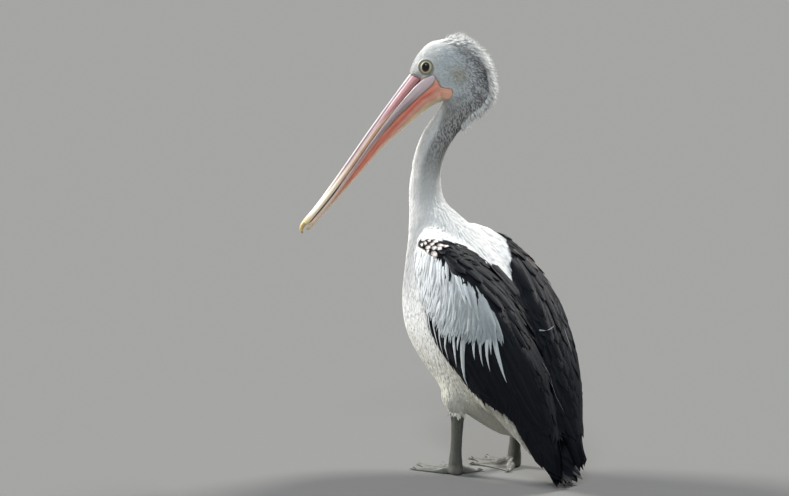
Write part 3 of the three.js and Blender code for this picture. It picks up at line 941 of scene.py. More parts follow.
# The coverts' white is bluish and darker than the body's, and greys further down the wing: painted shade. So
# is the long coverts' dimmer white.
COVERT_WHITE_IN_PAINTED_SHADE = np.array([0.66, 0.68, 0.69])
COVERT_PAINTED_SHADE_GREY = np.array([0.33, 0.365, 0.375])
SICKLE_WHITE_IN_PAINTED_SHADE = np.array([0.56, 0.59, 0.60])


def covert_tone_with_painted_shade(at, out, across, along):
    """Bluish white at the shoulder, and greyer towards the tips of the longest ones: painted shade."""
    down = np.stack([on_trunk(corner)[0] for corner in at.transpose(1, 0, 2)], 1)
    tone = COVERT_WHITE_IN_PAINTED_SHADE + (COVERT_PAINTED_SHADE_GREY - COVERT_WHITE_IN_PAINTED_SHADE) * rise(down, 0.08, 0.34)[:, :, None]
    return tone * varied((len(at), 1, 1), 0.74, 1.16, 77)


# The longest coverts, which hang apart over the black: down the trunk and turn round it at the root
# and at the tip, and half the width.
SICKLES = np.array([
    (0.150, 87, 0.226, 113, 0.0026),
    (0.161, 85, 0.246, 109, 0.0034),
    (0.178, 82, 0.257, 100, 0.0036),
    (0.195, 75, 0.274, 99, 0.0036),
    (0.217, 72, 0.293, 98, 0.0038),
    (0.221, 65, 0.319, 91, 0.0048),
    (0.248, 64, 0.293, 80, 0.0040),
    (0.251, 62, 0.367, 95, 0.0064),
    (0.261, 56, 0.327, 72, 0.0046),
    (0.260, 50, 0.350, 68, 0.0042),
    (0.271, 47, 0.363, 66, 0.0046),
    (0.283, 47, 0.337, 57, 0.0040),
    (0.271, 44, 0.401, 61, 0.0056),
])


def mantle_end(down, side):
    """The turn at which the white mantle ends on one side."""
    left = np.interp(down, *MANTLE_LEFT)
    return left if side > 0 else np.maximum(np.interp(down, *MANTLE_RIGHT), -left)


def scapular_end(down, side):
    return np.interp(down, *SCAPULAR_EDGE) + RIGHT_DRAPE * (side < 0)


EDGE_BROWN = np.array([0.20, 0.17, 0.15])
DROP_CREAM = np.array([0.80, 0.72, 0.68])


def tile_tips(at, out, across, along):
    """Black, with pale brownish edges to the feathers along the right shoulder's ridge."""
    flat = at.reshape(-1, 3)
    down, turn = on_trunk(flat)
    along_ridge = rise(down, 0.075, 0.090) * (1 - rise(down, 0.16, 0.19))
    on_ridge = along_ridge * rise(turn, 34, 37) * (1 - rise(turn, 47, 51)) * (flat[:, 0] < AXIS_TOP.x)
    at_edge = np.tile(np.maximum(rise(np.abs(across), 0.6, 0.9), rise(along, 0.7, 0.95)), len(at))
    return blended(plain(BLACK, len(flat)), EDGE_BROWN, on_ridge * at_edge).reshape(at.shape)


# How long the coverts are by distance down the trunk. One with less room than the shortest is left out.
COVERT_LENGTH = ([0.03, 0.10, 0.20], [0.034, 0.060, 0.110])
SHORTEST_COVERT = 0.026
# The turn at which the coverts' quills end, by distance down the trunk.
COVERT_FOOT = ([0, 0.10, 0.14, 0.26, 0.33], [106, 100, 90, 89, 86])
# Where each wing's tip lies, from the point between the feet.
WING_TIPS = {"left": (0.033, 0.246, 0.020), "right": (-0.033, 0.262, 0.036)}

for side, label in ((1, "left"), (-1, "right")):
    seed = 100 if side > 0 else 200
    # Flight feathers: the black under-layer.
    down, turn = rows(np.arange(0.06, 0.47, 0.022), lambda far: (
        mantle_end(far, side) + 2, np.interp(far, *WING_EDGE) - 1, 6.0))
    length = np.interp(down, [0.06, 0.2, 0.47], [0.10, 0.16, 0.15]) * varied(len(down), 0.92, 1.08, seed)
    shows = down + length > np.interp(turn, *COVERT_END) - 0.05
    shows = shows | (turn < scapular_end(down, side) - 4) | ((turn > 86) & (down > 0.12))
    down, turn, length = down[shows], turn[shows], length[shows]
    roots = loose_roots(down, turn, side, seed)
    ends = on_wing(down + length, np.minimum(turn, np.interp(down + length, *WING_EDGE) - 3), side)
    room = room_before(roots, ends - roots, 0.19, past_wing) + varied(len(down), 0, 0.016, seed + 6)
    length = np.minimum(length, room)
    under = feathered(f"flight_feathers_{label}", FLIGHT, roots, ends - roots, length, 0.0115, 0.004,
                      black_tone, seed, base=0.001, thick=0.0007, camber=0.15, curl=0.08, stray=0.018)
    under.data.materials.append(glossy)
    # A row along the wing's lower edge, whose tips cross it one after another.
    down = np.arange(0.140, 0.50, 0.0125)
    turn = np.interp(down, *WING_EDGE) - 4 + varied(len(down), -1.5, 1.5, seed + 40)
    roots = on_wing(down, turn, side)
    ahead = on_wing(down + 0.08, np.interp(down + 0.08, *WING_EDGE) - 1, side)
    length = np.interp(down, [0.15, 0.3], [0.075, 0.12])
    length = np.minimum(length, room_before(roots, ahead - roots, 0.13, past_wing).clip(0.04) + 0.008)
    edge = feathered(f"edge_feathers_{label}", FLIGHT, roots, ahead - roots, length, 0.0085, 0.005,
                     black_tone, seed + 41, base=0.0035, thick=0.0007, camber=0.2, curl=0.15, stray=0.018)
    edge.data.materials.append(glossy)
    # Primaries: they draw together towards the wing's tip.
    down, turn = rows(np.arange(0.44, 0.56, 0.024), lambda far: (4, np.interp(far, *WING_EDGE) - 3, 11.0))
    roots = on_wing(down, turn, side)
    to_tip = np.array(GROUND) + np.array(WING_TIPS[label]) - roots
    reach = np.linalg.norm(to_tip, axis=1) * varied(len(down), 0.86, 1.04, seed + 3)
    primaries = feathered(f"primaries_{label}", FLIGHT, roots, to_tip, reach, 0.0125, 0.003, black_tone,
                          seed + 4, base=0.002, thick=0.0007, camber=0.15, curl=0.08, stray=0.016)
    primaries.data.materials.append(glossy)
    # White wing coverts: soft and short at the shoulder, long and loose over the flight feathers. The
    # longest end in separate tips with black between them.
    down, turn = rows(np.arange(0.026, 0.33, 0.0100), lambda far: (
        scapular_end(far, side) + 1, np.interp(far, *COVERT_FOOT), 3.0))
    roots = loose_roots(down, turn, side, seed + 10)
    heading = hanging(roots) + varied((len(roots), 3), -0.05, 0.05, seed + 13)
    room = room_before(roots, heading, 0.15, past_coverts)
    wish = np.interp(down, *COVERT_LENGTH) * varied(len(roots), 0.8, 1.15, seed + 15)
    wish = np.minimum(wish, room + varied(len(roots), -0.010, 0.012, seed + 10))
    kept = wish > SHORTEST_COVERT
    roots, heading, wish, down = roots[kept], heading[kept], wish[kept], down[kept]
    half_width = np.interp(wish, [0.03, 0.12], [0.0046, 0.0052])
    lift = np.interp(down, [0.03, 0.16], [0.0025, 0.0060])
    base = np.interp(down, [0.03, 0.16], [0.0015, 0.0045])
    coverts = feathered(f"wing_coverts_{label}", LANCE, roots, heading, wish, half_width, lift, covert_tone_with_painted_shade,
                        seed + 14, base=base, thick=0.0005, camber=0.25, curl=0.2, bend=0.06)
    coverts.data.materials.append(soft)
    root_down, root_turn, tip_down, tip_turn, half_width = SICKLES.T
    roots = on_wing(root_down, root_turn, side)
    reach = on_wing(tip_down, tip_turn, side) - roots
    length = np.linalg.norm(reach, axis=1)
    # Their dim bluish white is painted shade.
    tones = plain(SICKLE_WHITE_IN_PAINTED_SHADE, len(roots)) * varied((len(roots), 1), 0.9, 1.1, seed + 50)
    sickles = feathered(f"long_coverts_{label}", SICKLE, roots, reach, length, half_width, 0.0060, tones,
                        seed + 51, base=0.0055, thick=0.0006, camber=0.25, curl=0.12, sweep=-0.22 * side)
    sickles.data.materials.append(soft)
    # Loose black tips hang from the wing's lower edge over the white of the flank.
    down = np.arange(0.335, 0.480, 0.0075)
    roots = on_wing(down, np.interp(down, *WING_EDGE) - 7 + varied(len(down), -2, 2, seed + 60), side)
    heading = swaying(len(down), 0.12, seed + 61)
    length = varied(len(down), 0.020, 0.037, seed + 62)
    fringe = feathered(f"edge_fringe_{label}", LANCE, roots, heading, length, 0.0036, 0.0020, black_tone,
                       seed + 63, base=0.0065, thick=0.0005, camber=0.2, curl=0.15, bend=0.05)
    fringe.data.materials.append(glossy)
    # Scapulars: black and broad, draped from the shoulder over the back.
    down, turn = rows(np.arange(0.085, 0.45, 0.027), lambda far: (
        mantle_end(far, side) + 1, scapular_end(far, side) - 4, 7.0))
    length = np.interp(down, [0.04, 0.09, 0.18, 0.30], [0.035, 0.075, 0.11, 0.13])
    length = length * varied(len(down), 0.9, 1.1, seed + 20)
    roots = loose_roots(down, turn, side, seed + 20)
    slant = np.interp(down, [0.08, 0.2, 0.4], [18, 12, 3]) + varied(len(down), -5, 5, seed + 23)
    scapulars = feathered(f"scapulars_{label}", FLIGHT, roots, slanted(roots, side, slant), length,
                          np.interp(length, [0.035, 0.12], [0.0085, 0.0145]), 0.005, tile_tips, seed + 24,
                          base=0.004, thick=0.0007, camber=0.15, curl=0.16, bend=0.05)
    scapulars.data.materials.append(glossy)
    # The shoulder's small black feathers. The front ones have thin white edges, and those behind them
    # a white drop at the tip.
    down, turn = rows(np.arange(0.014, 0.105, 0.0085), lambda far: (
        mantle_end(far, side) - 1, scapular_end(far, side) - 5, 4.2))
    roots = loose_roots(down, turn, side, seed + 30, along=0.002)
    from_edge = scapular_end(down, side) - turn
    chance = 0.9 * (1 - rise(down, 0.055, 0.080)) * (1 - rise(from_edge, 13, 22))
    spotted = (varied(len(down), 0, 1, seed + 33) < chance)[:, None]
    behind = rise(down, 0.030, 0.040)[:, None] > 0.5

    def drops(at, out, across, along):
        tip = (along > 0.6) * (along < 0.99) * ((across < 0.3) | behind)
        return np.where((spotted * tip)[:, :, None] > 0, DROP_CREAM, BLACK)

    slant = np.interp(down, [0.02, 0.1], [32, 20]) + varied(len(down), -10, 10, seed + 34)
    length = np.interp(down, [0.014, 0.10], [0.018, 0.044]) * varied(len(down), 0.85, 1.15, seed + 35)
    half_width = np.interp(down, [0.014, 0.10], [0.0046, 0.0085])
    shoulder = feathered(f"shoulder_feathers_{label}", SCALE, roots, slanted(roots, side, slant), length,
                         half_width, 0.0045, drops, seed + 36,
                         base=0.004, thick=0.0005, camber=0.2, curl=0.25, bend=0.08)
    shoulder.data.materials.append(glossy)

# A few long black feathers have worn pale shafts, which cross the folded wings as thin lines.
# At the root and at the tip: the side, the distance down the trunk and the turn. Then half the width
# and the tone.
PALE_SHAFTS = [(1, 0.391, 22, -1, 0.496, 30, 0.0011, 0.16), (-1, 0.332, 26, -1, 0.391, 25, 0.0010, 0.26),
               (-1, 0.318, 9, -1, 0.326, 13, 0.0018, 0.42), (-1, 0.326, 13, -1, 0.323, 19, 0.0012, 0.36)]
roots = np.concatenate([on_wing([far], [turn], side) for side, far, turn, *_ in PALE_SHAFTS])
tips = np.concatenate([on_wing([far], [turn], side) for *_, side, far, turn, _, _ in PALE_SHAFTS])
length = np.linalg.norm(tips - roots, axis=1)
half_width = np.array([half for *_, half, _ in PALE_SHAFTS])
tones = np.array([[tone, tone, tone] for *_, tone in PALE_SHAFTS])
shafts = feathered("pale_shafts", SICKLE, roots, tips - roots, length, half_width, 0.001, tones, 350,
                   base=0.0130, sink=0.0, thick=0.0004)
shafts.data.materials.append(soft)

# ---- Tail ----
# Short stiff feathers in a closed fan, between the wings' tips and the floor.
UPPER_FAN = 20
LOWER_FAN = 15
TAIL_TOP = np.array([0, 0.649, 0.761])  # the way that the fan's upper face looks


def fanned(count, half_width, back, high, arch=0.0, droop=0.0):
    """Places from side to side of the tail. The outer ones lie less far back by the arch, and droop."""
    aside = np.linspace(-1, 1, count)
    from_feet = np.stack([aside * half_width, back - arch * aside**2, high - droop * np.abs(aside)], 1)
    return from_feet + np.array(GROUND)


roots = np.concatenate([
    fanned(UPPER_FAN, 0.022, 0.135, 0.108, 0.004, 0.004),
    fanned(LOWER_FAN, 0.024, 0.184, 0.063),
])
tips = np.concatenate([
    fanned(UPPER_FAN, 0.048, 0.252, 0.009, 0.012),
    fanned(LOWER_FAN, 0.044, 0.251, 0.010, 0.012),
])
faces_out = np.concatenate([plain(TAIL_TOP, UPPER_FAN), plain(-TAIL_TOP, LOWER_FAN)])
length = np.linalg.norm(tips - roots, axis=1) * varied(len(roots), 0.88, 1.03, 301)
tail_feathers = feathered("tail_feathers", FLIGHT, roots, tips - roots, length, 0.0110, 0.002, black_tone,
                          300, base=0.003, thick=0.0007, camber=0.2, curl=0.2, stiff_face=faces_out)
tail_feathers.data.materials.append(glossy)


# ---- Bill ----
# A long upper bill with a raised ridge, a groove on each side of it and a hooked nail at the tip. It
# closes on two thin bars that carry the pouch. All are horn under a thin skin.
def on_bill(points):
    """The share of the bill's length, the height above the mouth line, and the distance to the left."""
    from_corner = points - np.array(MOUTH_CORNER)
    share = from_corner @ np.array(OUTWARD) / BILL_LENGTH
    wave = np.where(share > 0, BILL_WAVE * np.sin(share * 2 * math.pi), 0)
    return share, from_corner @ np.array(RIDGEWARD) - wave, from_corner @ np.array(HEAD_LEFT)


def banded(share, height, bands, edge):
    """Colours in bands from the top down. Each band says how low it reaches along the bill."""
    colour = plain(bands[-1][0], len(share))
    for tint, low in reversed(bands[:-1]):
        colour = blended(colour, tint, rise(height - np.interp(share, *low), -edge, edge))
    return colour


def horn_material(name, rough, streaks, bumps, soft_light):
    """Fine streaks along the bill, a little mottling and a dull shine."""
    material = bpy.data.materials.new(name)
    material.use_nodes = True
    tree = material.node_tree
    colour = node_in(tree, "Attribute", {}, attribute_name="tint")
    own = node_in(tree, "Attribute", {}, attribute_name="place")
    stretch = node_in(tree, "Mapping", {0: own.outputs["Vector"], "Scale": (9, 260, 260)})
    streak = node_in(tree, "TexNoise", {"Vector": stretch.outputs[0], "Scale": streaks, "Detail": 4})
    spot = node_in(tree, "TexCoord", {})
    mottle = node_in(tree, "TexNoise", {"Vector": spot.outputs["Object"], "Scale": 60, "Detail": 5})
    half = node_in(tree, "Math", {0: mottle.outputs[0], 1: 0.5}, operation="MULTIPLY")
    both = node_in(tree, "Math", {0: streak.outputs[0], 1: 0.5, 2: half.outputs[0]},
                   operation="MULTIPLY_ADD")
    tone = node_in(tree, "MapRange", {
        0: both.outputs[0], "From Min": 0.3, "From Max": 0.7, "To Min": 0.86, "To Max": 1.10})
    toned = node_in(tree, "VectorMath", {0: colour.outputs["Color"], "Scale": tone.outputs[0]},
                    operation="SCALE")
    roughness = node_in(tree, "MapRange", {
        0: streak.outputs[0], "To Min": rough - 0.1, "To Max": rough + 0.15})
    bump = node_in(tree, "Bump", {"Strength": bumps, "Distance": 0.0008, "Height": both.outputs[0]})
    feed(tree, tree.nodes["Principled BSDF"], {
        "Base Color": toned.outputs[0],
        "Roughness": roughness.outputs[0],
        "Normal": bump.outputs[0],
        "Specular IOR Level": 0.4,
        "Subsurface Weight": soft_light,
        "Subsurface Radius": (0.006, 0.0025, 0.0015),
        "Subsurface Scale": 0.5,
    })
    return material


def tinted(mesh, colours, place):
    """Keeps colours and the piece's own coordinates on its points, for its material."""
    keep_colours(mesh, "tint", colours)
    keep_places(mesh, "place", *place)


BILL_WAVE = 0.004  # how far the mouth line swings off the straight
BILL_VOXEL = 0.0013
UPPER_ROUNDS = 30
LOWER_ROUNDS = 40
RIDGE_CREAM = (0.58, 0.51, 0.49)
# The groove's own purple on the upper bill; on the lower bill's bars the same colour is painted shade.
GROOVE_PURPLE_AND_PAINTED_SHADE = (0.22, 0.14, 0.19)
SIDE_LILAC = (0.50, 0.33, 0.34)
SIDE_PINK = (0.62, 0.31, 0.31)
SIDE_CREAM = (0.86, 0.72, 0.56)
SIDE_PEACH = (0.84, 0.50, 0.34)
TIP_YELLOW = (0.78, 0.60, 0.28)
BAR_GREY = (0.40, 0.31, 0.31)
BAR_MAUVE = (0.62, 0.50, 0.51)
POUCH_RED = (0.80, 0.24, 0.17)
POUCH_PINK = (0.84, 0.42, 0.32)
POUCH_YELLOW = (0.88, 0.70, 0.46)
CORNER_PAINTED_SHADE_PURPLE = (0.42, 0.20, 0.23)
MOUTH_BROWN = (0.30, 0.16, 0.13)
INNER_PAINTED_SHADE = (0.07, 0.035, 0.045)
SEAM_PAINTED_SHADOW = (0.10, 0.05, 0.06)


def shadowed_under_plumage(colours, points, share):
    """Darkens the line along which a horn comes out of the plumage: painted shadow of the feathers' edge."""
    near = np.ones(len(points))
    for i in np.where(share < 0.2)[0]:
        near[i] = body.tree.find_nearest(points[i])[3]
    return blended(colours, SEAM_PAINTED_SHADOW, 0.85 * (1 - rise(near, 0.0012, 0.0030)))


horn = horn_material("bill_horn", 0.38, 1.0, 0.25, 0.15)
upper_mesh = fine_copy("bill_upper_horn", ["bill_upper"], BILL_VOXEL, UPPER_ROUNDS)
co = places(upper_mesh)
share, height, aside = on_bill(co)
ridge_top = np.interp(share, [0.045, 0.31, 0.65, 0.86, 0.95], [0.0285, 0.0215, 0.020, 0.0165, 0.016])
level = height / ridge_top
# The ridge stands up from a groove on each side, which fades towards the nail.
GROOVE_DEPTH = 0.0011
SIDE_SWELLING = 0.0006  # how high the side swells under each groove
fade = rise(share, 0.0, 0.05) * (1 - rise(share, 0.82, 0.92))
raised = SIDE_SWELLING * np.exp(-(((level - 0.30) / 0.14) ** 2))
raised = (raised - GROOVE_DEPTH * np.exp(-(((level - 0.70) / 0.10) ** 2))) * fade
normal = read(upper_mesh.vertices, "normal", 3)
settle(upper_mesh, co + normal * raised[:, None])
upper_bands = [
    (RIDGE_CREAM, ([0, 0.5, 1], [0.86, 0.86, 0.86])),
    (GROOVE_PURPLE_AND_PAINTED_SHADE, ([0.0, 0.25, 0.50, 0.70, 0.80, 1], [0.66, 0.66, 0.68, 0.74, 0.86, 0.86])),
    (SIDE_LILAC, ([0.0, 0.2, 0.30, 0.55, 0.8, 1], [0.60, 0.58, 0.50, 0.50, 0.74, 0.80])),
    (SIDE_PINK, ([0.0, 0.2, 0.35, 0.45, 1], [-0.1, 0.05, 0.46, 0.56, 0.8])),
    (SIDE_CREAM, ([0.0, 0.2, 0.35, 0.6, 1], [-0.1, -0.02, 0.34, 0.30, -0.3])),
    (SIDE_PEACH, ([0, 1], [-1, -1])),
]
colours = banded(share, level, upper_bands, 0.05)
# Painted shade: the bill's side darkens to purple in the corner of the mouth.
corner = np.exp(-(((share - 0.01) / 0.05) ** 2))
colours = blended(colours, CORNER_PAINTED_SHADE_PURPLE, 0.6 * corner * (level < 0.78))
colours = blended(colours, SIDE_CREAM, 0.55 * rise(share, 0.55, 0.80))
colours = blended(colours, TIP_YELLOW, rise(share, 0.86, 0.97))
colours = blended(colours, MOUTH_BROWN, 0.75 * (1 - rise(level, 0.02, 0.10)) * rise(share, 0.02, 0.1))
colours = shadowed_under_plumage(colours, co, share)
tinted(upper_mesh, colours, (share, height, np.abs(aside)))
upper_mesh.materials.append(horn)
upper_horn = linked(upper_mesh, "bill_upper_horn")
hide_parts("bill_upper")
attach(upper_horn, "root")

# The lower half of the bill: two bars, with their lower edge by share of the bill's length.
BAR_FOOT = ([-0.03, 0.015, 0.1, 0.206, 0.31, 0.46, 0.62, 0.9],
            [-0.029, -0.030, -0.024, -0.0172, -0.0132, -0.010, -0.0084, -0.009])
lower_mesh = fine_copy("bill_lower_horn", ["bill_lower"], BILL_VOXEL, LOWER_ROUNDS)
co = places(lower_mesh)
share, height, aside = on_bill(co)
level = 1 - height / np.interp(share, *BAR_FOOT)
# The top band is painted shade on the bars' upper edge, in the groove's purple.
lower_bands = [
    (GROOVE_PURPLE_AND_PAINTED_SHADE, ([0, 0.3, 0.6, 1], [0.86, 0.86, 0.80, 0.8])),
    (BAR_MAUVE, ([0, 0.3, 0.6, 1], [0.30, 0.60, 0.85, 0.9])),
    (BAR_GREY, ([0, 0.31, 0.46, 0.62, 0.8, 0.92], [0.0, 0.02, 0.25, 0.42, 0.66, 0.85])),
    (POUCH_PINK, ([0, 1], [-1, -1])),
]
colours = banded(share, level, lower_bands, 0.10)
colours = blended(colours, np.array(BAR_MAUVE) * 1.15, 0.75 * (1 - rise(share, 0.02, 0.16)) * (level < 0.9))
colours = blended(colours, SIDE_CREAM, 0.85 * rise(share, 0.55, 0.85))
colours = blended(colours, np.array(TIP_YELLOW) * 1.05, 0.6 * rise(share, 0.90, 0.97))
# Painted shade: what faces up, under the upper bill, is darkened.
facing_up = read(lower_mesh.vertices, "normal", 3) @ np.array(RIDGEWARD)[:, None]
facing_up = relaxed(lower_mesh, facing_up, 6, push=EVEN_OUT)[:, 0]
colours = blended(colours, INNER_PAINTED_SHADE, rise(facing_up, 0.35, 0.7) * (1 - rise(share, 0.8, 0.9)))
colours = shadowed_under_plumage(colours, co, share)
tinted(lower_mesh, colours, (share, height, np.abs(aside)))
lower_mesh.materials.append(horn)
lower_horn = linked(lower_mesh, "bill_lower_horn")
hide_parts("bill_lower")
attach(lower_horn, "root")

# The pouch: thin elastic skin, drawn up in shallow folds along its length.
pouch_skin = horn_material("pouch_skin", 0.45, 1.6, 0.5, 0.35)
POUCH_VOXEL = 0.0014
POUCH_ROUNDS = 30
FOLD_HEIGHT = 0.00035
# Its lower edge, by share of the bill's length.
POUCH_FLOOR = ([-0.1, -0.07, 0.045, 0.09, 0.2, 0.31, 0.41, 0.515, 0.62, 0.72, 0.83, 0.93],
               [-0.066, -0.076, -0.069, -0.057, -0.0465, -0.037,
                -0.0275, -0.0225, -0.0178, -0.0144, -0.011, -0.009])
pouch_mesh = fine_copy("pouch_skin", ["pouch"], POUCH_VOXEL, POUCH_ROUNDS)
co = places(pouch_mesh)
share, height, aside = on_bill(co)
level = (height / np.interp(share, *POUCH_FLOOR)).clip(0, 1.1)
folds = np.sin(level * 26 + share * 7 + 1.2 * np.sin(share * 19)) * np.sin(level * math.pi).clip(0) ** 0.5
raised = FOLD_HEIGHT * folds * rise(share, -0.06, 0.02) * (1 - rise(share, 0.7, 0.9))
normal = read(pouch_mesh.vertices, "normal", 3)
settle(pouch_mesh, co + normal * raised[:, None])
pouch_bands = [
    (SIDE_PEACH, ([-0.1, 0.1, 0.5, 0.9], [-0.42, -0.42, -0.44, -0.6])),
    (POUCH_RED, ([-0.1, 0.1, 0.3, 0.5, 0.9], [-0.55, -0.62, -0.72, -0.85, -0.7])),
    (POUCH_PINK, ([-0.1, 0.1, 0.3, 0.9], [-0.80, -0.84, -0.90, -0.9])),
    (POUCH_YELLOW, ([0, 1], [-2, -2])),
]
colours = banded(share, -level, pouch_bands, 0.06)
colours = blended(colours, SIDE_CREAM, 0.5 * rise(share, 0.55, 0.85))
colours = blended(colours, BARE_ORANGE, 0.6 * (1 - rise(share, -0.05, 0.05)) * (level < 0.8))
# Painted light and shade: the folds' crests are lighter and their troughs darker.
colours = colours * (1 + 0.06 * folds[:, None])
tinted(pouch_mesh, colours, (share, height, np.abs(aside)))
pouch_mesh.materials.append(pouch_skin)
pouch_piece = linked(pouch_mesh, "pouch_skin")
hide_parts("pouch")
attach(pouch_piece, "root")

# The bare skin behind each corner of the mouth runs on from the pouch and ends in a raised edge. A dark line
# along its top and back is painted shade under the feathers.
GAPE_FRONT = 0.062
GAPE_BACK = -0.0058
GAPE_ORANGE = (0.88, 0.46, 0.33)
GAPE_CREAM = (0.88, 0.64, 0.48)
GAPE_EDGE_PAINTED_SHADE = (0.26, 0.10, 0.08)
for side, label in ((1, "left"), (-1, "right")):
    bm = bmesh.new()
    bmesh.ops.create_grid(bm, x_segments=44, y_segments=24, size=0.5)
    upper_side = bmesh.ops.extrude_face_region(bm, geom=bm.faces[:])["geom"]
    top_corners = [item for item in upper_side if isinstance(item, bmesh.types.BMVert)]
    bmesh.ops.translate(bm, vec=(0, 0, 1), verts=top_corners)
    patch = mesh_of(bm, "patch")
    along, up_share, is_outer = (places(patch) + (0.5, 0.5, 0)).T
    forward = GAPE_BACK + (GAPE_FRONT - GAPE_BACK) * along**1.6
    foot = np.interp(forward, *GAPE_FOOT)
    top = np.interp(forward, *GAPE_TOP)
    above = foot + (top - foot) * up_share
    aside = side * np.interp(above, [-0.075, -0.066, -0.055, -0.035], [0.008, 0.016, 0.028, 0.038])
    guess = np.array(SKULL) + np.stack([forward, above, aside], 1) @ np.array([AHEAD, UP, HEAD_LEFT])
    spot, out, _ = nearest_on(body, guess)
    rim = np.minimum(np.minimum(up_share, 1 - up_share) * (top - foot), forward - GAPE_BACK)
    folds = np.sin(up_share * 22 + 4 * along) * rise(rim, 0.002, 0.006)
    high = 0.0010 + 0.0016 * rise(rim, 0, 0.0015) - 0.0006 * rise(rim, 0.0015, 0.004) + 0.00025 * folds
    high = np.where(is_outer > 0.5, high, -0.0012)
    settle(patch, spot + out * high[:, None])
    bm = bmesh.new()
    bm.from_mesh(patch)
    bmesh.ops.recalc_face_normals(bm, faces=bm.faces)
    gape_mesh = mesh_of(bm, f"gape_skin_{label}")
    gape_mesh.shade_smooth()
    tint = blended(plain(GAPE_ORANGE, len(forward)), GAPE_CREAM, rise(-above, 0.044, 0.062))
    # Painted shade along the top and back edges, under the feathers' edge.
    line = (1 - rise(rim, 0.0010, 0.0022)) * rise(up_share, 0.2, 0.5)
    tint = blended(tint, GAPE_EDGE_PAINTED_SHADE, line * 0.85)
    tinted(gape_mesh, tint, (forward, above, np.abs(aside)))
    gape_mesh.materials.append(pouch_skin)
    gape = linked(gape_mesh, f"gape_skin_{label}")
    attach(gape, "root")


# ---- Eyes ----
# Dark brown eyes, each in a ring of bare khaki skin with a pale rim. The lid is the ring's inner edge.
EYE_RADIUS = 0.0125
IRIS = (0.050, 0.028, 0.014)
PUPIL = (0.003, 0.003, 0.003)
PUPIL_RADIUS = 0.0070
PUPIL_BLUR = 0.0008
EYE_SUNK = 0.0008  # into its socket
LID_EDGE = (0.05, 0.045, 0.04)
LID_PALE = (0.60, 0.58, 0.42)
LID_KHAKI = (0.20, 0.19, 0.13)
LID_RIM = (0.62, 0.63, 0.58)
# From the lid's edge outwards: distance from the middle of the eye and height over the ball or the skin.
LID_PROFILE = [(0.0104, 0.0001), (0.0108, 0.0008), (0.0116, 0.0012), (0.0130, 0.0011), (0.0150, 0.0010),
               (0.0166, 0.0008), (0.0182, 0.0000), (0.0170, -0.0020), (0.0132, -0.0030), (0.0108, -0.0022)]
LEAST_BULGE = 0.0000135**0.5  # of the ball over its middle, where the ring runs past its edge
OVER_FACE = 0.0022  # how far the ring's outer part stands off the skin of the face
LID_TILT = math.radians(14)  # the opening is a little taller than it is wide, and its top leans back
LID_WIDTHS = ([0.0104, 0.0135, 0.0160, 0.0182], [0.84, 0.88, 1.04, 1.10])
LID_HEIGHTS = ([0.0104, 0.0135, 0.0182], [1.04, 1.02, 0.99])

eye_finish = bpy.data.materials.new("eye_gloss")
eye_finish.use_nodes = True
tree = eye_finish.node_tree
own = node_in(tree, "Attribute", {}, attribute_name="place")
from_axis = node_in(tree, "SeparateXYZ", {0: own.outputs["Vector"]}).outputs["X"]
fibres = node_in(tree, "TexNoise", {"Vector": own.outputs["Vector"], "Scale": 900})
wobble = node_in(tree, "Math", {0: fibres.outputs[0], 1: PUPIL_BLUR, 2: from_axis}, operation="MULTIPLY_ADD")
inside = node_in(tree, "MapRange", {
    0: wobble.outputs[0], "From Min": PUPIL_RADIUS, "From Max": PUPIL_RADIUS + PUPIL_BLUR})
iris = node_in(tree, "Mix", {"Factor": inside.outputs[0], "A": (*PUPIL, 1), "B": (*IRIS, 1)},
               data_type="RGBA")
feed(tree, tree.nodes["Principled BSDF"], {
    "Base Color": iris.outputs["Result"],
    "Roughness": 0.06,
    "Specular IOR Level": 0.35,
    "Coat Weight": 0.15,
    "Coat Roughness": 0.03,
})

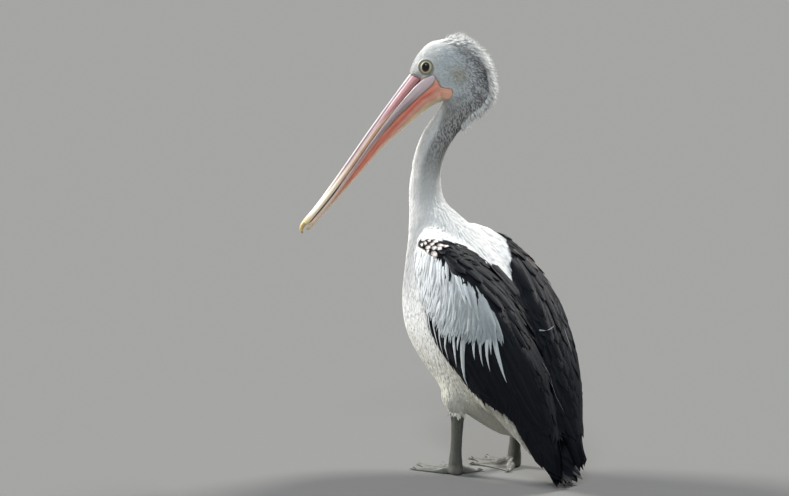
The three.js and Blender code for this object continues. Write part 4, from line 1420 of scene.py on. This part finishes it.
for side, label in ((1, "left"), (-1, "right")):
    aside = np.array(HEAD_LEFT) * side
    middle = np.array(middle_of(f"eye_{label}")) - aside * EYE_SUNK
    bm = bmesh.new()
    bmesh.ops.create_uvsphere(bm, u_segments=40, v_segments=24, radius=EYE_RADIUS)
    ball = mesh_of(bm, f"eye_ball_{label}")
    co = places(ball)
    keep_places(ball, "place", np.hypot(co[:, 0], co[:, 1]), co[:, 2], co[:, 0])
    turned = co @ np.array([np.array(AHEAD) * side, np.array(UP), aside])
    settle(ball, middle + turned)
    ball.shade_smooth()
    ball.materials.append(eye_finish)
    eye_ball = linked(ball, f"eye_ball_{label}")
    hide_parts(f"eye_{label}")
    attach(eye_ball, "root")

    bm = bmesh.new()
    corners = [bm.verts.new((far, 0, lift)) for far, lift in LID_PROFILE]
    edges = [bm.edges.new((corners[i - 1], corners[i])) for i in range(len(corners))]
    bmesh.ops.spin(bm, geom=corners + edges, cent=(0, 0, 0), axis=UP, angle=math.tau, steps=56,
                   use_merge=True)
    bmesh.ops.recalc_face_normals(bm, faces=bm.faces)
    lid = mesh_of(bm, f"eye_lid_{label}")
    co = places(lid)
    far = np.hypot(co[:, 0], co[:, 1])
    wide = co[:, 0] * np.interp(far, *LID_WIDTHS)
    high = co[:, 1] * np.interp(far, *LID_HEIGHTS)
    across = np.array(AHEAD) * math.cos(LID_TILT) + np.array(UP) * math.sin(LID_TILT)
    upward = np.array(UP) * math.cos(LID_TILT) - np.array(AHEAD) * math.sin(LID_TILT)
    in_plane = middle + np.outer(wide, across) + np.outer(high, upward)
    on_ball = np.sqrt(np.maximum(EYE_RADIUS**2 - wide**2 - high**2, LEAST_BULGE**2))
    on_face = []
    for start in in_plane:
        hit = body.tree.ray_cast(Vector(start + aside * 0.05), Vector(-aside))[0]
        on_face.append((np.array(hit) - middle) @ aside)
    outer = rise(far, 0.0110, 0.0146)
    out = on_ball * (1 - outer) + (np.array(on_face) + OVER_FACE) * outer + co[:, 2]
    settle(lid, in_plane + np.outer(out, aside))
    lid.shade_smooth()
    tint = blended(plain(LID_EDGE, len(co)), LID_PALE, rise(far, 0.0105, 0.0109))
    tint = blended(tint, LID_KHAKI, rise(far, 0.0140, 0.0150))
    tint = blended(tint, LID_RIM, rise(far, 0.0164, 0.0172))
    tinted(lid, tint, (far, co[:, 0], co[:, 1]))
    lid.materials.append(pouch_skin)
    eye_lid = linked(lid, f"eye_lid_{label}")
    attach(eye_lid, "root")


# ---- Legs and feet ----
# Bare grey legs under small flat scales, and feet with four toes all joined by webs. A row of broad
# plates runs along each toe to a short claw.
LEG_GREY = np.array([0.080, 0.080, 0.068])
SOLE_GREY = np.array([0.08, 0.08, 0.072])
WEB_GREY_PAINTED_LIGHT = np.array([0.13, 0.13, 0.115])
CLAW_HORN = (0.10, 0.09, 0.075)
HEELS = {"left": Vector((0.075, -0.027, 0)), "right": Vector((-0.075, 0.028, 0))}
TOES = [(16, 0.104), (-6, 0.116), (-34, 0.096), (-112, 0.062)]  # degrees outward of ahead, and length
LEG_VOXEL = 0.0016
LEG_ROUNDS = 24
LEG_SWELL = 0.0010  # closes the seam between tarsus and foot
TOE_RISE = 0.011
SOLE_HEIGHT = 0.0016
LEG_SCALE_SPACING = 0.0034
TOE_PLATE_SPACING = 0.0050
PLATE_AT_HEEL = 0.00704  # half its width there; the plates get narrower towards the claw
PLATE_NARROWING = 0.004352
CUFF_LEVELS = [0.166, 0.162, 0.158, 0.154, 0.150]  # heights of the cuff's rows over the floor
CLAW_LENGTH = 0.013
CLAW_RADIUS = 0.0030
SCALE_PLATE = vane(6, (0.12, 0.5, 0.86), ([0, 0.12, 0.5, 0.86, 1], [0.3, 0.85, 1, 0.8, 0.3]))

leg_skin = horn_material("leg_skin", 0.5, 2.0, 0.6, 0.0)
scute_finish = plumage_material("leg_scales", 0.45, 3.0, 0.0, 0.0, 0.35)


def leg_tint(points):
    height = height_of(points)
    # The toes and webs are lighter than the legs: painted light on the feet.
    colour = blended(plain(WEB_GREY_PAINTED_LIGHT, len(points)), LEG_GREY, rise(height, 0.010, 0.030))
    return blended(plain(SOLE_GREY, len(points)), colour, rise(height, 0.0010, 0.0030))


for side, label in ((1, "left"), (-1, "right")):
    mesh = fine_copy(f"leg_skin_{label}", [f"tarsus_{label}", f"foot_{label}"],
                     LEG_VOXEL, LEG_ROUNDS, LEG_SWELL)
    co = places(mesh)
    # The toes thicken and rise towards the ankle.
    heel = GROUND + HEELS[label]
    far = np.hypot(co[:, 0] - heel.x, co[:, 1] - heel.y)
    on_top = rise(co[:, 2], 0.003, 0.006) * (1 - rise(co[:, 2], 0.030, 0.060))
    co[:, 2] += TOE_RISE * (1 - rise(far, 0.005, 0.060)) * on_top
    # The heel is round.
    rounded = (1 - rise(far, 0.018, 0.032)) * (1 - rise(co[:, 2], 0.022, 0.036))
    co += rounded[:, None] * (relaxed(mesh, co, LEG_ROUNDS, push=EVEN_OUT) - co)
    # The sole stays flat on the floor.
    co[:, 2] = np.where(co[:, 2] < SOLE_HEIGHT, np.maximum(co[:, 2], 0), co[:, 2])
    settle(mesh, co)
    tinted(mesh, leg_tint(co), tuple(co.T))
    mesh.materials.append(leg_skin)
    leg = linked(mesh, f"leg_skin_{label}")
    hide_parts(f"tarsus_{label}", f"foot_{label}")
    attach(leg, "root")
    shin = surface_of(leg)

    seed = 400 + 10 * (side > 0)
    roots = scattered(shin, LEG_SCALE_SPACING, seed)
    roots = roots[height_of(roots) > 0.020]
    half_width = 0.0021 * varied(len(roots), 0.85, 1.15, seed + 2)
    tones = leg_tint(roots) * varied((len(roots), 1), 0.8, 1.2, seed + 3)
    scales = feathered(f"leg_scales_{label}", SCALE_PLATE, roots, swaying(len(roots), 0.1, seed + 1), 0.0046,
                       half_width, 0.0002, tones, seed,
                       thick=0.0003, sink=0.0002, camber=0.3, curl=0.0, surface=shin)
    scales.data.materials.append(scute_finish)

    plate_roots, ways, widths = [], [], []
    for turn, length in TOES:
        way = Vector((math.sin(math.radians(turn)) * side, -math.cos(math.radians(turn)), 0))
        for far in np.arange(0.016, length - 0.004, TOE_PLATE_SPACING):
            start = heel + way * far + Vector((0, 0, 0.06))
            hit = shin.tree.ray_cast(start, Vector((0, 0, -1)))[0]
            if hit and hit.z < 0.035:
                plate_roots.append(np.array(hit))
                ways.append(np.array(way))
                widths.append(PLATE_AT_HEEL - PLATE_NARROWING * (far / length) ** 0.7)
        # The claw curves down to just over the floor.
        claw_root = heel + way * (length - 0.001)
        bm = bmesh.new()
        bmesh.ops.create_cone(bm, cap_ends=True, segments=12, radius1=CLAW_RADIUS, radius2=0.0002,
                              depth=CLAW_LENGTH)
        for cut in (-0.003, 0.0, 0.003):
            cut_across(bm, (0, 0, cut), UP)
        for corner in bm.verts:
            far = corner.co.z + CLAW_LENGTH / 2
            aside = UP.cross(way) * corner.co.x * 0.8
            corner.co = claw_root + way * far * 0.95 + aside + UP * (corner.co.y + 0.0052 - 24 * far**2)
            corner.co.z = max(corner.co.z, 0.0003)
        bmesh.ops.recalc_face_normals(bm, faces=bm.faces)
        claw_mesh = mesh_of(bm, f"claw_{label}_{abs(turn)}")
        claw_mesh.shade_smooth()
        co = places(claw_mesh)
        tinted(claw_mesh, plain(CLAW_HORN, len(co)), tuple(co.T))
        claw_mesh.materials.append(horn)
        claw = linked(claw_mesh, f"claw_{label}_{abs(turn)}")
        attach(claw, "root")
    plate_roots, ways = np.array(plate_roots), np.array(ways)
    tones = leg_tint(plate_roots) * varied((len(plate_roots), 1), 0.75, 1.1, seed + 5)
    plates = feathered(f"toe_plates_{label}", SCALE_PLATE, plate_roots, ways, 0.0058, np.array(widths),
                       0.0001, tones, seed + 6,
                       thick=0.0003, sink=0.0001, camber=0.5, curl=0.0, surface=shin)
    plates.data.materials.append(scute_finish)

    # Small plumes run down from the thigh over the top of the leg.
    turns = np.radians(np.concatenate([np.arange(0, 360, 18) + 6 * i for i in range(len(CUFF_LEVELS))]))
    levels = np.repeat(CUFF_LEVELS, 20)
    hem = []
    for turn, level in zip(turns, levels):
        out = Vector((math.cos(turn), math.sin(turn), 0))
        middle = Vector((heel.x, heel.y + 0.005, GROUND.z + level))
        hem.append(shin.tree.ray_cast(middle + out * 0.05, -out)[0] or middle)
    hem = np.array(hem)
    off_leg = np.interp(levels, [CUFF_LEVELS[-1], CUFF_LEVELS[0]], [0.0010, 0.0060])
    length = 0.015 * varied(len(hem), 0.75, 1.25, seed + 8)
    # The cuff's plumes are a tenth darker than the markings there: painted shade under the belly.
    cuff = feathered(f"thigh_cuff_{label}", PLUME, hem, swaying(len(hem), 0.06, seed + 7), length, 0.0030,
                     -0.3 * off_leg, markings(hem) * 0.9, seed + 9, base=off_leg, sink=0.0, surface=shin)
    cuff.data.materials.append(soft)


# ---- Floor and light ----
# A wide plain floor under a sky of its own tone, so that no line shows where they meet. Two broad lights
# from behind the bird edge its neck and back, and a weak cool one comes from the near side.
FLOOR_SIZE = 60.0
FLOOR_TONE = (0.15, 0.15, 0.147, 1)
HORIZON_TONE = (0.392, 0.392, 0.384, 1)
WALL_TONE = (0.16, 0.17, 0.18, 1)
CEILING_TONE = (0.30, 0.33, 0.36, 1)
bm = bmesh.new()
bmesh.ops.create_grid(bm, x_segments=1, y_segments=1, size=FLOOR_SIZE)
floor = linked(mesh_of(bm, "floor"), "floor")
floor_finish = bpy.data.materials.new("floor")
floor_finish.use_nodes = True
tree = floor_finish.node_tree
feed(tree, tree.nodes["Principled BSDF"], {
    "Base Color": FLOOR_TONE, "Roughness": 0.95, "Specular IOR Level": 0.0})
floor.data.materials.append(floor_finish)

world = bpy.data.worlds.new("room")
world.use_nodes = True
tree = world.node_tree
direction = node_in(tree, "TexCoord", {})
upward = node_in(tree, "SeparateXYZ", {0: direction.outputs["Generated"]}).outputs["Z"]
ramp = node_in(tree, "ValToRGB", {0: upward})
feed(tree, tree.nodes["Background"], {"Color": ramp.outputs[0]})
ramp.color_ramp.elements[0].position = 0.0
ramp.color_ramp.elements[0].color = HORIZON_TONE
ramp.color_ramp.elements[1].position = 0.85
ramp.color_ramp.elements[1].color = CEILING_TONE
ramp.color_ramp.elements.new(0.30).color = WALL_TONE
bpy.context.scene.world = world


def broad_light(name, place, strength, colour):
    """A light so far off and so wide that the whole floor gets as much of it as the bird."""
    data = bpy.data.lights.new(name, "SUN")
    data.angle = math.radians(16)
    data.energy = strength
    data.color = colour
    lamp = bpy.data.objects.new(name, data)
    lamp.rotation_euler = Vector(place).to_track_quat("Z", "Y").to_euler()
    bpy.context.scene.collection.objects.link(lamp)


broad_light("front_rim", (0.70, -2.6, 1.7), 5.6, (1, 0.98, 0.95))
broad_light("back_rim", (-2.6, 0.5, 2.6), 4.6, (1, 0.98, 0.95))
broad_light("fill", (2.2, 1.2, 2.6), 1.5, (0.84, 0.93, 1))

bpy.context.scene.view_settings.view_transform = "Standard"
bpy.context.view_layer.update()
